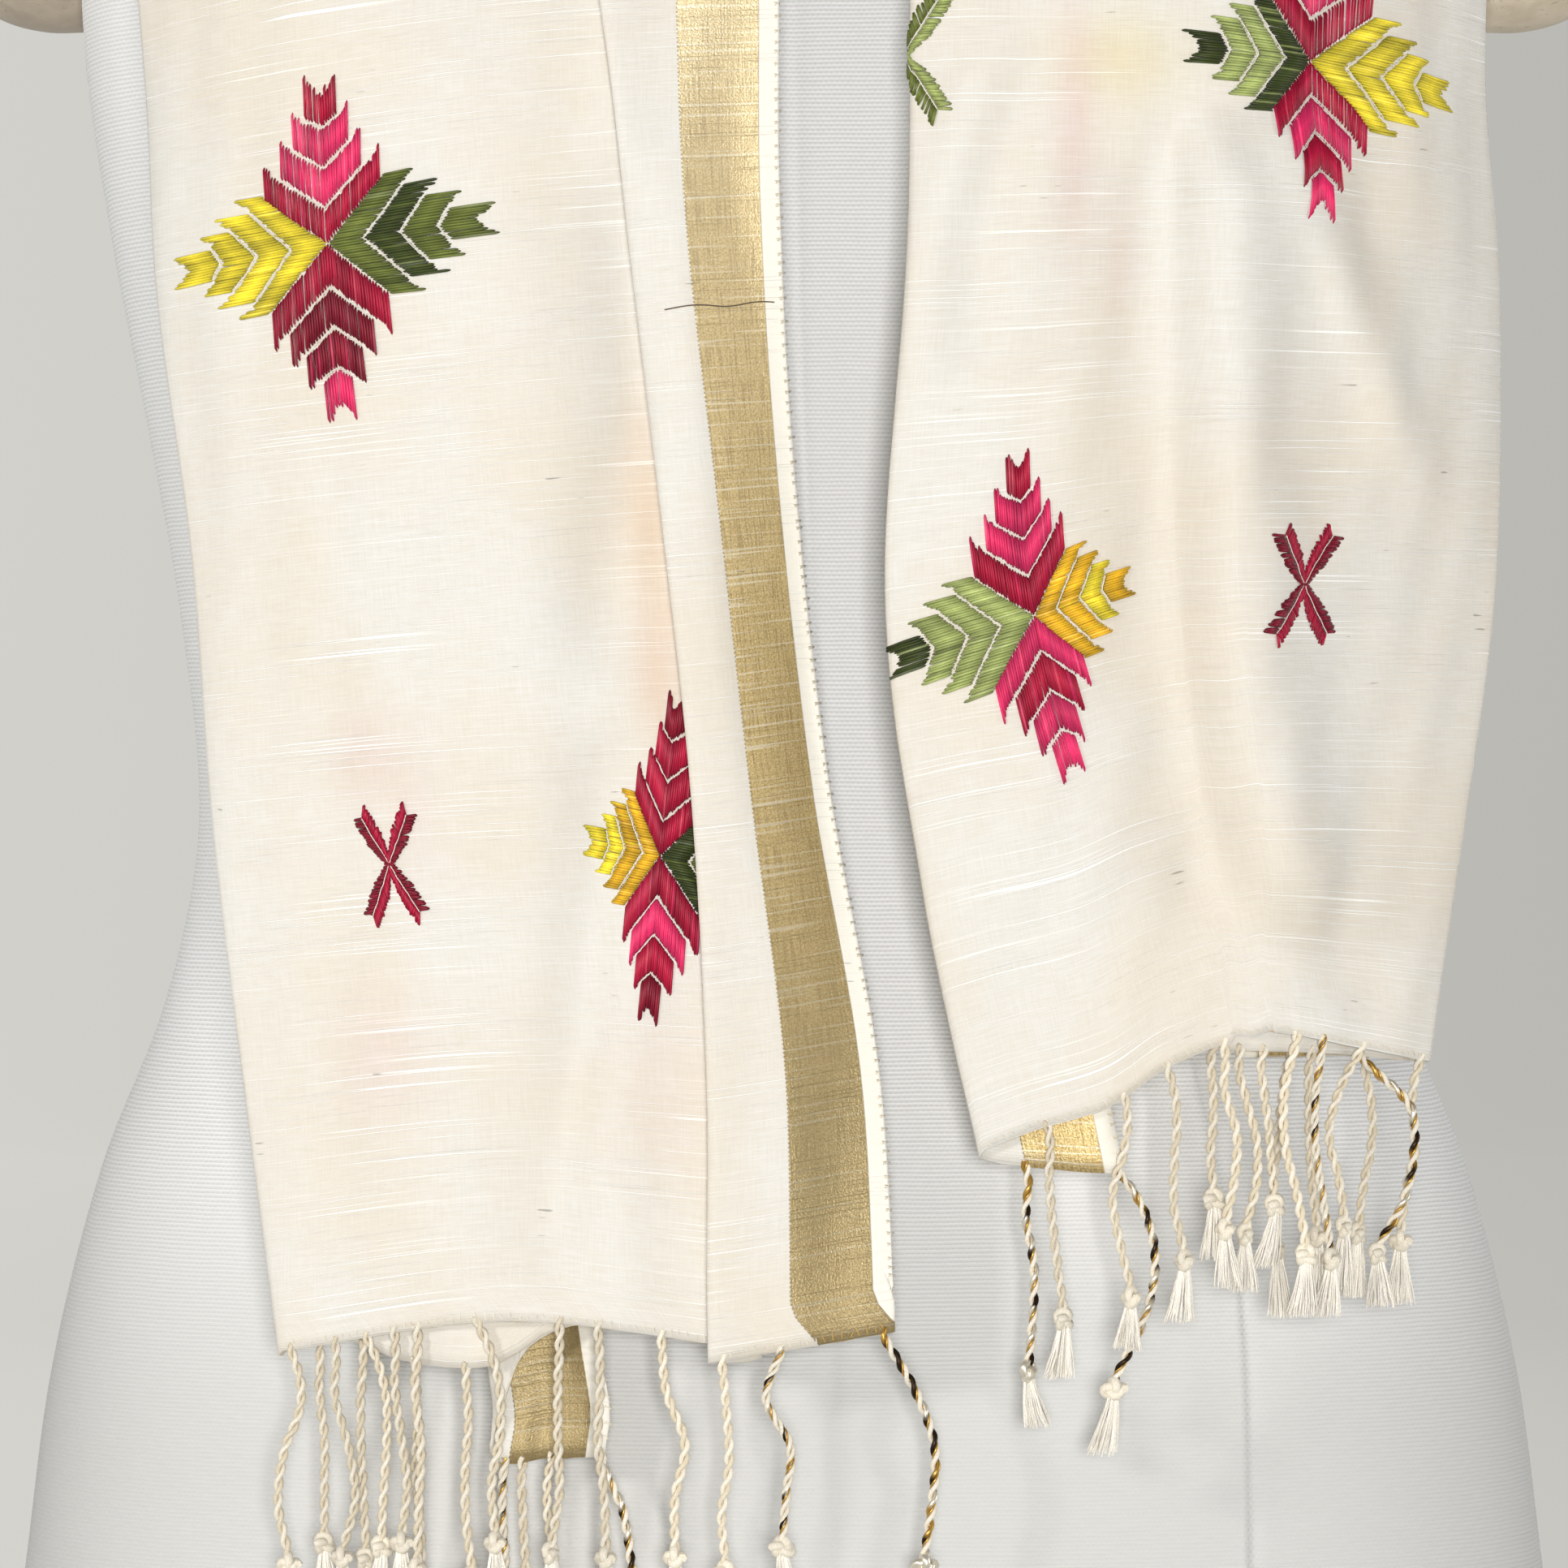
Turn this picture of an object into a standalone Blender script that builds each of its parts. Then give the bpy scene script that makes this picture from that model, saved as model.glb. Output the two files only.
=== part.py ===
"""A narrow handloom stole laid over both shoulders of a table-top dress form.

Metres, +Z up, the front towards -Y. The origin is the middle of the base's underside.
The tables are in centimetres, with heights measured from the waist of the form.
"""
import math

import bmesh
import bpy
from mathutils import Vector
from mathutils.bvhtree import BVHTree

CM = 0.01
GAP = 0.0003

BASE_THICK = 0.022
BASE_HALF_WIDTH = 0.174
BASE_HALF_DEPTH = 0.124
BASE_SIDES = 40
BASE_ROUND = 0.004

TORSO_BELOW_WAIST = 27.0
WAIST = BASE_THICK + GAP + TORSO_BELOW_WAIST * CM
TORSO_SIDES = 40
TORSO_RINGS = 26
SECTION_POWER = 0.90
ARMHOLE_SQUARING = 0.28
ARMHOLE_REACH = 8.0
ARMHOLE_X = 14.8
ARMHOLE_MARGIN = 3.0
BUST_HEIGHT = 16.5
BUST_X = 8.6
BUST_RISE = 2.1
BUST_REACH_X = 4.6
BUST_REACH_Z = 6.0

# height, half width, depth in front, depth behind
TORSO_SECTIONS = (
    (-27.0, 16.5, 10.9, 11.8),
    (-20.0, 16.7, 11.2, 12.3),
    (-15.0, 16.1, 11.0, 12.0),
    (-10.9, 15.55, 10.6, 11.3),
    (-6.7, 14.5, 10.0, 10.3),
    (-3.2, 13.15, 9.4, 9.4),
    (0.5, 12.45, 9.0, 8.8),
    (4.7, 12.8, 9.2, 8.8),
    (8.8, 13.5, 9.6, 9.0),
    (13.0, 14.3, 10.1, 9.4),
    (17.0, 14.85, 10.2, 9.7),
    (22.0, 15.0, 9.8, 9.9),
    (27.0, 15.1, 9.0, 9.9),
    (31.5, 15.3, 8.1, 9.5),
    (35.0, 15.6, 7.2, 8.6),
    (37.3, 14.9, 6.4, 7.5),
    (38.9, 13.0, 5.9, 6.6),
    (40.3, 10.4, 5.5, 6.0),
    (41.7, 8.0, 5.3, 5.6),
    (43.3, 6.5, 5.3, 5.3),
    (45.5, 6.0, 5.3, 5.1),
    (49.0, 5.8, 5.4, 5.0),
)

CAP_SIDES = 24
# distance out from the armhole, share of the rim's size
SHOULDER_CAP_PROFILE = (
    (0.0, 1.0),
    (0.9, 1.0),
    (1.8, 0.965),
    (2.7, 0.88),
    (3.5, 0.73),
    (4.1, 0.50),
    (4.4, 0.24),
    (4.5, 0.0),
)
SHOULDER_CAP_X = ARMHOLE_X + GAP / CM
SHOULDER_CAP_HEIGHT = 24.2
SHOULDER_CAP_HALF_HEIGHT = 6.8
SHOULDER_CAP_HALF_DEPTH = 5.0
# height above the neck's top, radius
NECK_CAP_PROFILE = (
    (0.0, 5.3),
    (1.0, 5.5),
    (1.7, 5.2),
    (2.3, 4.0),
    (2.6, 2.0),
    (2.9, 1.0),
    (3.5, 0.85),
    (4.1, 1.35),
    (5.0, 1.65),
    (5.9, 1.3),
    (6.4, 0.0),
)
NECK_CAP_Y = -0.2

STOLE_WIDTH = 28.5
CLOTH_THICK = 0.0011
LAYER = 0.28
ROUND_FOLD = math.pi / 2 - 1
LIE_OFF = 1.15
LIE_SOFTNESS = 0.35
ROW_SPACING = 3.1
ROW_SAMPLES = 16
PLEAT_OPENS = 0.8
PLEAT_TURNS = 0.3
TURN_SETTLES = 0.8
LEAST_TURN = 0.06
FALL_REACH = 2.2

# The folded cloth's visible edges, from the left end over the back to the right end.
# "outer" is the arm side and "inner" the neck side; "crown" is how far the row bows out.
STATIONS = (
    # outer x, y, z      inner x, y, z          crown
    (-10.2, -10.9, -10.2, 2.10, -12.1, -9.6, 1.1),
    (-10.9, -10.7, -5.0, 1.9, -12.3, -4.3, 1.2),
    (-11.6, -10.4, 0.5, 1.05, -12.6, 1.3, 1.3),
    (-12.05, -9.9, 6.0, 0.4, -12.9, 7.0, 1.6),
    (-12.8, -9.3, 12.0, -0.1, -13.0, 13.2, 2.0),
    (-12.75, -8.8, 18.0, -0.30, -12.8, 19.3, 2.2),
    (-13.4, -8.6, 24.5, -1.1, -11.8, 26.5, 2.0),
    (-13.9, -8.4, 30.5, -2.9, -10.5, 33.0, 1.5),
    (-14.4, -7.4, 35.6, -5.2, -9.2, 38.2, 1.0),
    (-14.7, -4.4, 38.9, -6.9, -6.0, 42.0, 0.7),
    (-14.8, 0.6, 40.0, -7.7, 0.3, 43.6, 0.5),
    (-14.9, 5.6, 38.6, -8.0, 5.9, 41.6, 0.7),
    (-14.9, 9.3, 34.0, -7.9, 9.2, 37.6, 0.9),
    (-13.2, 11.0, 26.5, -6.9, 11.0, 32.4, 0.9),
    (-8.4, 11.6, 18.4, -4.6, 11.6, 27.0, 0.9),
    (0.0, 11.9, 14.3, 0.0, 11.7, 24.2, 0.9),
    (8.4, 11.6, 18.4, 4.6, 11.6, 27.0, 0.9),
    (13.2, 11.0, 26.5, 6.9, 11.0, 32.4, 0.9),
    (14.9, 9.3, 34.0, 7.9, 9.2, 37.6, 0.9),
    (15.0, 5.6, 38.6, 8.0, 5.9, 41.6, 0.7),
    (15.1, 0.6, 40.0, 7.7, 0.3, 43.6, 0.5),
    (15.2, -4.2, 38.9, 6.9, -6.0, 42.0, 0.7),
    (15.0, -6.6, 35.6, 5.7, -9.2, 38.2, 1.2),
    (14.4, -7.0, 30.5, 4.2, -10.5, 32.6, 1.9),
    (13.9, -7.0, 24.5, 3.0, -11.8, 26.0, 2.5),
    (13.85, -7.1, 18.0, 2.57, -12.8, 18.6, 2.7),
    (14.65, -7.4, 12.0, 2.47, -13.0, 12.0, 2.5),
    (14.6, -8.2, 6.0, 2.02, -12.9, 5.0, 2.1),
    (13.95, -9.0, 0.8, 2.80, -12.6, -1.0, 1.7),
    (13.15, -9.6, -4.3, 3.90, -12.2, -6.2, 1.4),
)
SHOULDER_LEFT = 10
MIDDLE_BACK = 15
SHOULDER_RIGHT = 20

# How the width is folded, at stations named by their row in STATIONS, in cm.
# "tucked" are the three runs under the arm-side fold, outermost layer last; the pleat's
# "hidden" depth is negative where it has opened flat; "turned" is the run behind the
# neck-side edge; "lap" is 0 where the neck side laps over and 1 where the arm side does;
# "fall" is how far the neck-side edge falls back towards the form.
FOLDS = (
    # station, tucked 1, 2, 3, pleat at, hidden, turned, lap, fall
    (0, 7.3, 2.8, 2.4, 9.0, 1.05, 0.35, 0.0, 0.0),
    (1, 7.2, 2.8, 2.4, 9.75, 1.05, 0.35, 0.0, 0.6),
    (2, 7.0, 2.7, 2.3, 10.3, 1.05, 0.35, 0.0, 1.1),
    (3, 6.8, 2.7, 2.3, 10.5, 1.05, 0.35, 0.0, 1.1),
    (4, 6.4, 2.6, 2.2, 11.0, 1.05, 0.35, 0.0, 0.5),
    (5, 6.2, 2.8, 2.4, 10.7, 1.05, 0.35, 0.0, 0.1),
    (7, 5.6, 3.6, 3.8, 8.8, 1.05, 0.35, 0.0, 0.0),
    (10, 5.2, 4.6, 5.2, 5.0, 1.0, 0.4, 0.0, 0.0),
    (13, 5.4, 4.6, 4.6, 5.2, -0.2, 0.8, 0.0, 0.0),
    (15, 6.4, 5.3, 4.2, 5.0, -0.8, 1.6, 0.5, 0.0),
    (17, 6.2, 5.3, 5.3, 4.8, -0.8, 2.2, 1.0, 0.0),
    (18, 5.6, 5.1, 6.8, 4.6, -0.8, 2.2, 1.0, 0.0),
    (19, 5.3, 5.1, 7.4, 4.4, -0.8, 2.1, 1.0, 0.0),
    (20, 5.6, 5.2, 6.8, 4.4, -0.8, 2.1, 1.0, 0.0),
    (22, 6.2, 5.0, 3.7, 6.0, -0.8, 2.6, 1.0, 0.0),
    (23, 6.2, 4.6, 2.3, 7.0, -0.8, 2.9, 1.0, 0.0),
    (25, 5.7, 3.7, 1.3, 9.0, -0.8, 3.0, 1.0, 0.0),
    (26, 5.6, 3.6, 1.3, 8.8, -0.8, 3.0, 1.0, 0.0),
    (27, 5.7, 3.7, 1.4, 7.5, -0.8, 3.0, 1.0, 0.0),
    (28, 5.9, 4.4, 2.4, 5.9, -0.8, 3.0, 1.0, 0.0),
    (29, 6.1, 5.1, 3.7, 4.2, -0.8, 3.0, 1.0, 0.0),
)

# Soft folds in the whole thickness: depth of the ridge at the pleat, of the hollow on
# its neck side, and of the three long folds that run round the back.
SOFT_FOLDS = (
    # station, ridge, hollow, back folds
    (0, 0.0, 0.15, 0.0),
    (5, 0.0, 0.25, 0.0),
    (8, 0.0, 0.15, 0.1),
    (10, 0.0, 0.0, 0.15),
    (13, 0.0, 0.0, 0.4),
    (15, 0.0, 0.0, 0.6),
    (17, 0.0, 0.0, 0.4),
    (20, 0.0, 0.0, 0.15),
    (22, 0.1, 0.1, 0.1),
    (25, 0.35, 0.35, 0.0),
    (27, 0.35, 0.3, 0.0),
    (29, 0.2, 0.2, 0.0),
)
RIDGE_REACH = 1.3
BACK_FOLD_COUNT = 3

# Height of the hem at each fold and half way along each run, from the arm-side selvedge.
LEFT_HEM = (
    -12.15, -12.2, -12.1, -10.4, -9.3, -10.55, -10.2, -9.4,
    -10.1, -10.2, -10.2, -9.9, -9.6, -9.6, -9.6,
)
RIGHT_HEM = (
    -4.2, -4.2, -4.2, -4.1, -4.0, -4.1, -4.3, -4.0,
    -3.62, -3.75, -3.9, -5.3, -6.15, -6.4, -6.5,
)
HEM_FADE = 22.0

# Cells across each of the seven runs, and round the six folds between them.
RUN_CELLS = (3, 2, 3, 5, 1, 4, 2)
FOLD_CELLS = (2, 2, 3, 2, 3, 2)

FRINGE_STRIP = 0.35
STRIP_GAP = 0.09
LEAST_CELL = 0.05
STRAND_WIDTH = 0.0018
STRAND_RINGS = 5
STRAND_SETTLES = 0.25
KNOT_WIDTH = 0.0028
TUFT_WIDTH = 0.0030
TUFT_LENGTH = 0.010
# run of the fold and share of the way along it, length to the knot, and how far the
# strand has strayed towards +X a quarter, half, three quarters and all of the way (cm)
LEFT_STRANDS = (
    (0, 0.03, 4.2, 0.43, 0.6, 0.69, 0.6),
    (0, 0.50, 3.6, -0.1, 0.0, 0.15, 0.2),
    (0, 0.78, 3.9, 0.0, 0.05, 0.12, 0.2),
    (0, 0.95, 3.9, -0.05, 0.0, 0.0, 0.1),
    (2, 0.44, 4.1, 0.05, -0.02, 0.0, 0.12),
    (2, 0.60, 4.2, 0.05, 0.0, 0.1, 0.15),
    (2, 0.76, 4.2, -0.06, -0.05, 0.0, 0.05),
    (2, 0.90, 4.0, 0.0, 0.1, 0.1, 0.1),
    (3, 0.02, 4.2, 0.2, -0.15, -0.26, -0.05),
    (3, 0.12, 4.2, -0.02, 0.26, 0.4, 0.15),
    (3, 0.19, 4.1, 0.36, 0.4, 0.34, 0.3),
    (3, 0.25, 4.1, 0.0, 0.13, 0.25, 0.15),
    (3, 0.30, 4.7, -0.05, 0.07, 0.03, 0.0),
    (3, 0.43, 4.3, 0.4, 0.46, 0.28, 0.35),
    (3, 0.60, 4.5, -0.03, -0.03, 0.0, -0.16),
    (3, 0.68, 4.5, 0.05, 0.0, 0.13, 0.16),
    (3, 0.81, 4.3, 0.1, 0.48, 0.28, 0.28),
    (5, 0.03, 4.1, 0.1, 0.15, 0.0, 0.08),
    (5, 0.37, 3.8, -0.3, 0.18, 0.1, 0.03),
    (5, 0.95, 4.5, 0.66, 1.05, 1.0, 0.85),
)
RIGHT_STRANDS = (
    (0, 0.97, 3.5, 0.15, 0.17, 0.0, -0.1),
    (1, 0.50, 3.9, -0.2, -0.3, -0.4, -0.3),
    (2, 0.08, 2.9, 0.0, 0.0, -0.05, 0.02),
    (2, 0.18, 3.6, 0.1, 0.33, 0.33, 0.12),
    (2, 0.27, 3.0, 0.0, 0.1, 0.15, 0.23),
    (2, 0.47, 3.6, -0.06, -0.05, 0.0, 0.1),
    (2, 0.70, 3.9, 1.0, 1.1, 0.9, 0.4),
    (3, 0.05, 3.55, -0.17, -0.1, -0.3, -0.4),
    (3, 0.47, 3.5, -0.46, -0.66, -0.46, -0.35),
    (3, 0.73, 4.3, -0.15, -0.15, 0.0, 0.15),
    (3, 0.88, 4.3, -0.25, -0.25, 0.0, 0.17),
    (5, 0.03, 3.6, 0.0, 0.25, 0.2, 0.03),
    (5, 0.27, 3.75, 0.2, 0.15, 0.15, 0.35),
    (5, 0.44, 3.9, 0.0, -0.25, -0.1, 0.12),
    (5, 0.75, 3.75, 0.03, 0.09, 0.2, 0.32),
    (6, 0.28, 4.0, 0.0, 0.16, 0.14, 0.06),
    (6, 0.97, 4.2, 0.6, 0.7, 0.4, -0.1),
)

LOOKS = {
    "canvas": ((0.82, 0.82, 0.81), 0.9),
    "wood": ((0.70, 0.60, 0.46), 0.55),
    "stole_cloth": ((0.90, 0.85, 0.74), 0.75),
    "fringe_thread": ((0.88, 0.82, 0.68), 0.7),
}


def clear_scene():
    for old in list(bpy.data.objects):
        bpy.data.objects.remove(old, do_unlink=True)


def material(name):
    colour, roughness = LOOKS[name]
    made = bpy.data.materials.get(name) or bpy.data.materials.new(name)
    made.use_nodes = True
    shader = made.node_tree.nodes["Principled BSDF"]
    shader.inputs["Base Color"].default_value = (*colour, 1.0)
    shader.inputs["Roughness"].default_value = roughness
    return made


def add_object(name, bm, look, smooth=True):
    bmesh.ops.recalc_face_normals(bm, faces=bm.faces[:])
    mesh = bpy.data.meshes.new(name)
    bm.to_mesh(mesh)
    bm.free()
    mesh.materials.append(material(look))
    if smooth:
        mesh.shade_smooth()
    made = bpy.data.objects.new(name, mesh)
    bpy.data.collections["stole_on_form"].objects.link(made)
    return made


def at(x, y, z):
    """A place in metres from centimetres, with the height from the waist."""
    return Vector((x * CM, y * CM, WAIST + z * CM))


def between(table, x):
    """The other columns of a table at x in its first column, on a smooth curve."""
    i = max(j for j in range(len(table) - 1) if j == 0 or table[j][0] <= x)

    def slope(j, c):
        low, high = max(j - 1, 0), min(j + 1, len(table) - 1)
        return (table[high][c] - table[low][c]) / (table[high][0] - table[low][0])

    span = table[i + 1][0] - table[i][0]
    t = min(max((x - table[i][0]) / span, 0.0), 1.0)
    h00 = (1 + 2 * t) * (1 - t) ** 2
    h10 = t * (1 - t) ** 2
    h01 = t * t * (3 - 2 * t)
    h11 = t * t * (t - 1)
    return [
        h00 * table[i][c] + h10 * span * slope(i, c)
        + h01 * table[i + 1][c] + h11 * span * slope(i + 1, c)
        for c in range(1, len(table[0]))
    ]


def ease(x):
    x = min(max(x, 0.0), 1.0)
    return x * x * (3 - 2 * x)


def loft(bm, rings, close_ends=True):
    """Quads between rings of points, each ring closed on itself."""
    made = [[bm.verts.new(point) for point in ring] for ring in rings]
    for low, high in zip(made, made[1:]):
        for k in range(len(low)):
            nxt = (k + 1) % len(low)
            bm.faces.new((low[k], low[nxt], high[nxt], high[k]))
    if close_ends:
        bm.faces.new(made[0])
        bm.faces.new(made[-1])
    return made


# The dress form

def torso_ring(height):
    half_width, front, back = between(TORSO_SECTIONS, height)
    from_armhole = height - SHOULDER_CAP_HEIGHT
    power = SECTION_POWER - ARMHOLE_SQUARING * math.exp(-((from_armhole / ARMHOLE_REACH) ** 2))
    points = []
    for k in range(TORSO_SIDES):
        turn = 2 * math.pi * k / TORSO_SIDES
        across = math.copysign(abs(math.cos(turn)) ** power, math.cos(turn))
        deep = math.copysign(abs(math.sin(turn)) ** power, math.sin(turn))
        x = half_width * across
        if abs(from_armhole) <= SHOULDER_CAP_HALF_HEIGHT + ARMHOLE_MARGIN:
            x = max(-ARMHOLE_X, min(ARMHOLE_X, x))
        if deep < 0:
            bust = math.exp(-((abs(x) - BUST_X) / BUST_REACH_X) ** 2)
            bust *= math.exp(-((height - BUST_HEIGHT) / BUST_REACH_Z) ** 2)
            y = front * deep - BUST_RISE * bust * ease(-2 * deep)
        else:
            y = back * deep
        points.append(at(x, y, height))
    return points


def torso():
    bm = bmesh.new()
    low, high = TORSO_SECTIONS[0][0], TORSO_SECTIONS[-1][0]
    heights = [low + (high - low) * k / (TORSO_RINGS - 1) for k in range(TORSO_RINGS)]
    loft(bm, [torso_ring(height) for height in heights])
    return add_object("form_torso", bm, "canvas")


def base():
    bm = bmesh.new()
    bmesh.ops.create_cone(
        bm, cap_ends=True, segments=BASE_SIDES, radius1=1.0, radius2=1.0, depth=BASE_THICK
    )
    bmesh.ops.scale(bm, vec=(BASE_HALF_WIDTH, BASE_HALF_DEPTH, 1.0), verts=bm.verts[:])
    bmesh.ops.translate(bm, vec=(0, 0, BASE_THICK / 2), verts=bm.verts[:])
    made = add_object("form_base", bm, "wood", smooth=False)
    rounding = made.modifiers.new("rounded edge", "BEVEL")
    rounding.width = BASE_ROUND
    rounding.segments = 2
    rounding.limit_method = "ANGLE"


def turned(name, profile, place, look):
    """Rings of a turned piece: place(distance, radius, angle) gives each point."""
    bm = bmesh.new()
    rings = []
    for distance, radius in profile[:-1]:
        angles = [2 * math.pi * k / CAP_SIDES for k in range(CAP_SIDES)]
        rings.append([place(distance, radius, angle) for angle in angles])
    made = loft(bm, rings, close_ends=False)
    bm.faces.new(made[0])
    tip = bm.verts.new(place(*profile[-1], 0.0))
    for k in range(CAP_SIDES):
        bm.faces.new((made[-1][k], made[-1][(k + 1) % CAP_SIDES], tip))
    add_object(name, bm, look)


def caps():
    for side, name in ((-1, "left"), (1, "right")):
        def on_armhole(out, share, angle, side=side):
            return at(
                side * (SHOULDER_CAP_X + out),
                SHOULDER_CAP_HALF_DEPTH * share * math.cos(angle),
                SHOULDER_CAP_HEIGHT + SHOULDER_CAP_HALF_HEIGHT * share * math.sin(angle),
            )

        turned(f"form_shoulder_cap_{name}", SHOULDER_CAP_PROFILE, on_armhole, "wood")

    def on_neck(up, radius, angle):
        top = TORSO_SECTIONS[-1][0] + GAP / CM
        return at(radius * math.cos(angle), NECK_CAP_Y + radius * math.sin(angle), top + up)

    turned("form_neck_cap", NECK_CAP_PROFILE, on_neck, "wood")


# The stole

class Drape:
    """The folded stole as a surface: v runs along it and a section's path runs across."""

    def __init__(self, form):
        self.form = BVHTree.FromObject(form, bpy.context.evaluated_depsgraph_get())
        middles = [
            Vector([(row[a] + row[a + 3]) / 2 for a in range(3)]) for row in STATIONS
        ]
        self.reach = [0.0]
        for here, there in zip(middles, middles[1:]):
            self.reach.append(self.reach[-1] + (there - here).length)
        self.length = self.reach[-1]
        self.edges = [(v, *row) for v, row in zip(self.reach, STATIONS)]
        self.folds = [(self.reach[row[0]], *row[1:]) for row in FOLDS]
        self.waves = [(self.reach[row[0]], *row[1:]) for row in SOFT_FOLDS]

    def resting(self, point):
        """The point moved off the form until the cloth's layers clear it."""
        near, normal, _, _ = self.form.find_nearest(point)
        away = point - near
        distance = away.length / CM
        if away.dot(normal) < 0:
            distance, away = -distance, -away
        over = distance - LIE_OFF
        wanted = LIE_OFF + (over + math.sqrt(over * over + 4 * LIE_SOFTNESS**2)) / 2
        return near + away.normalized() * wanted * CM

    def row_point(self, v, share):
        values = between(self.edges, v)
        outer, inner = Vector(values[0:3]), Vector(values[3:6])
        step = 0.5
        before = between(self.edges, max(v - step, 0.0))
        after = between(self.edges, min(v + step, self.length))
        along = Vector([after[a] + after[a + 3] - before[a] - before[a + 3] for a in range(3)])
        out = (inner - outer).cross(along).normalized()
        bowed = outer.lerp(inner, share) + out * values[6] * 4 * share * (1 - share)
        return self.resting(at(*bowed))

    def row(self, v):
        """The row's points, their distances from the arm-side edge in cm, and normals."""
        step = 0.4
        shares = [k / ROW_SAMPLES for k in range(ROW_SAMPLES + 1)]
        points = [self.row_point(v, share) for share in shares]
        before = [self.row_point(max(v - step, 0.0), share) for share in shares]
        after = [self.row_point(min(v + step, self.length), share) for share in shares]
        run = [0.0]
        for here, there in zip(points, points[1:]):
            run.append(run[-1] + (there - here).length / CM)
        normals = []
        for k in range(ROW_SAMPLES + 1):
            across = points[min(k + 1, ROW_SAMPLES)] - points[max(k - 1, 0)]
            normals.append(across.cross(after[k] - before[k]).normalized())
        return points, run, normals

    def section(self, v, visible, run_cells, fold_cells):
        """(place, layer, run) of the folded width, from the arm-side selvedge."""
        tuck1, tuck2, tuck3, pleat, hidden, turned_in, lap, fall = between(self.folds, v)
        lift = LAYER * ease((hidden + PLEAT_OPENS) / (2 * PLEAT_OPENS))
        levels = (
            -3 * LAYER, -2 * LAYER, -LAYER,
            2 * lift * lap, lift, 2 * lift * (1 - lap),
            2 * lift * (1 - lap) - LAYER * ease(turned_in / TURN_SETTLES),
        )
        round_folds = ROUND_FOLD * sum(abs(a - b) for a, b in zip(levels, levels[1:]))
        shown = visible + 2 * max(hidden, 0.0) + turned_in + round_folds
        share = (STOLE_WIDTH - shown) / (tuck1 + tuck2 + tuck3)
        in2 = tuck1 * share
        in1 = in2 - tuck2 * share
        in0 = in1 + tuck3 * share
        in4 = pleat + hidden * (1 - lap)
        in5 = in4 - hidden
        stops = (in0, in1, in2, 0.0, in4, in5, visible, visible - turned_in)
        back = min(max(-hidden / PLEAT_TURNS, -1.0), 1.0)
        heads = (-1.0, 1.0, -1.0, 1.0, back, 1.0, -1.0)
        path = []
        for k in range(7):
            near = max(abs(levels[k] - levels[k - 1]) / 2, LEAST_TURN) if k else 0.0
            far = max(abs(levels[k + 1] - levels[k]) / 2, LEAST_TURN) if k < 6 else 0.0
            start = stops[k] + heads[k] * near
            end = stops[k + 1] - heads[k] * far
            for cell in range(run_cells[k] + 1):
                t = cell / run_cells[k]
                path.append((start + (end - start) * t, levels[k], k + 0.1 + 0.8 * t))
            if k < 6:
                path += self.fold(
                    stops[k + 1], far, (levels[k], levels[k + 1]),
                    (heads[k], heads[k + 1]), fold_cells[k], k + 0.9,
                )
        fallen = visible - FALL_REACH
        return [
            (place, level - fall * ease((place - fallen) / FALL_REACH), k)
            for place, level, k in path
        ]

    @staticmethod
    def fold(stop, radius, levels, heads, cells, run):
        """The points inside a rounded fold, on a curve that leaves and joins its runs."""
        places = (
            stop - heads[0] * radius, stop + heads[0] * radius / 3,
            stop - heads[1] * radius / 3, stop + heads[1] * radius,
        )
        heights = (levels[0], levels[0], levels[1], levels[1])
        points = []
        for cell in range(1, cells):
            t = cell / cells
            weights = ((1 - t) ** 3, 3 * t * (1 - t) ** 2, 3 * t * t * (1 - t), t**3)
            place = sum(w * p for w, p in zip(weights, places))
            height = sum(w * h for w, h in zip(weights, heights))
            points.append((place, height, run + 0.2 * t))
        return points

    def soft(self, v, place, visible):
        """How far the soft folds move every layer out, in cm."""
        pleat = between(self.folds, v)[3]
        ridge, hollow, back_folds = between(self.waves, v)
        off = (place - pleat) / RIDGE_REACH
        moved = ridge * math.exp(-((off + 0.5) ** 2))
        moved -= hollow * math.exp(-((off - 1.2) ** 2))
        turns = 2 * math.pi * BACK_FOLD_COUNT * place / visible
        return moved - back_folds * math.cos(turns) * math.sin(math.pi * place / visible)

    def hem_shift(self, v, run, share):
        """How far the hem's own line lowers the cloth here, in cm."""
        from_left, from_right = v, self.length - v
        hem = LEFT_HEM if from_left < from_right else RIGHT_HEM
        fade = max(0.0, 1 - min(from_left, from_right) / HEM_FADE) ** 2
        if fade == 0:
            return 0.0
        table = [(k / 2, z) for k, z in enumerate(hem)]
        end = 0.0 if from_left < from_right else self.length
        values = between(self.edges, end)
        return fade * (between(table, run)[0] - height_on(values, share))

    def points(self, v, run_cells=RUN_CELLS, fold_cells=FOLD_CELLS):
        row, run, normals = self.row(v)
        visible = run[-1]
        made = []
        for place, layer, k in self.section(v, visible, run_cells, fold_cells):
            share = min(max(place / visible, 0.0), 1.0)
            point, normal = self.on_row(row, run, normals, place)
            point = point + normal * (layer + self.soft(v, place, visible)) * CM
            point.z += self.hem_shift(v, k, share) * CM
            made.append(point)
        return made

    @staticmethod
    def on_row(points, run, normals, place):
        i = max(k for k in range(len(run) - 1) if k == 0 or run[k] <= place)
        t = (place - run[i]) / (run[i + 1] - run[i])
        point = points[i].lerp(points[i + 1], t)
        return point, normals[i].lerp(normals[i + 1], min(max(t, 0.0), 1.0)).normalized()


def height_on(values, share):
    """Height of an end row's straight line at this share of its width."""
    return values[2] + (values[5] - values[2]) * share


def spaced(first, last, spacing):
    count = max(2, round((last - first) / spacing))
    return [first + (last - first) * k / count for k in range(count + 1)]


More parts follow.
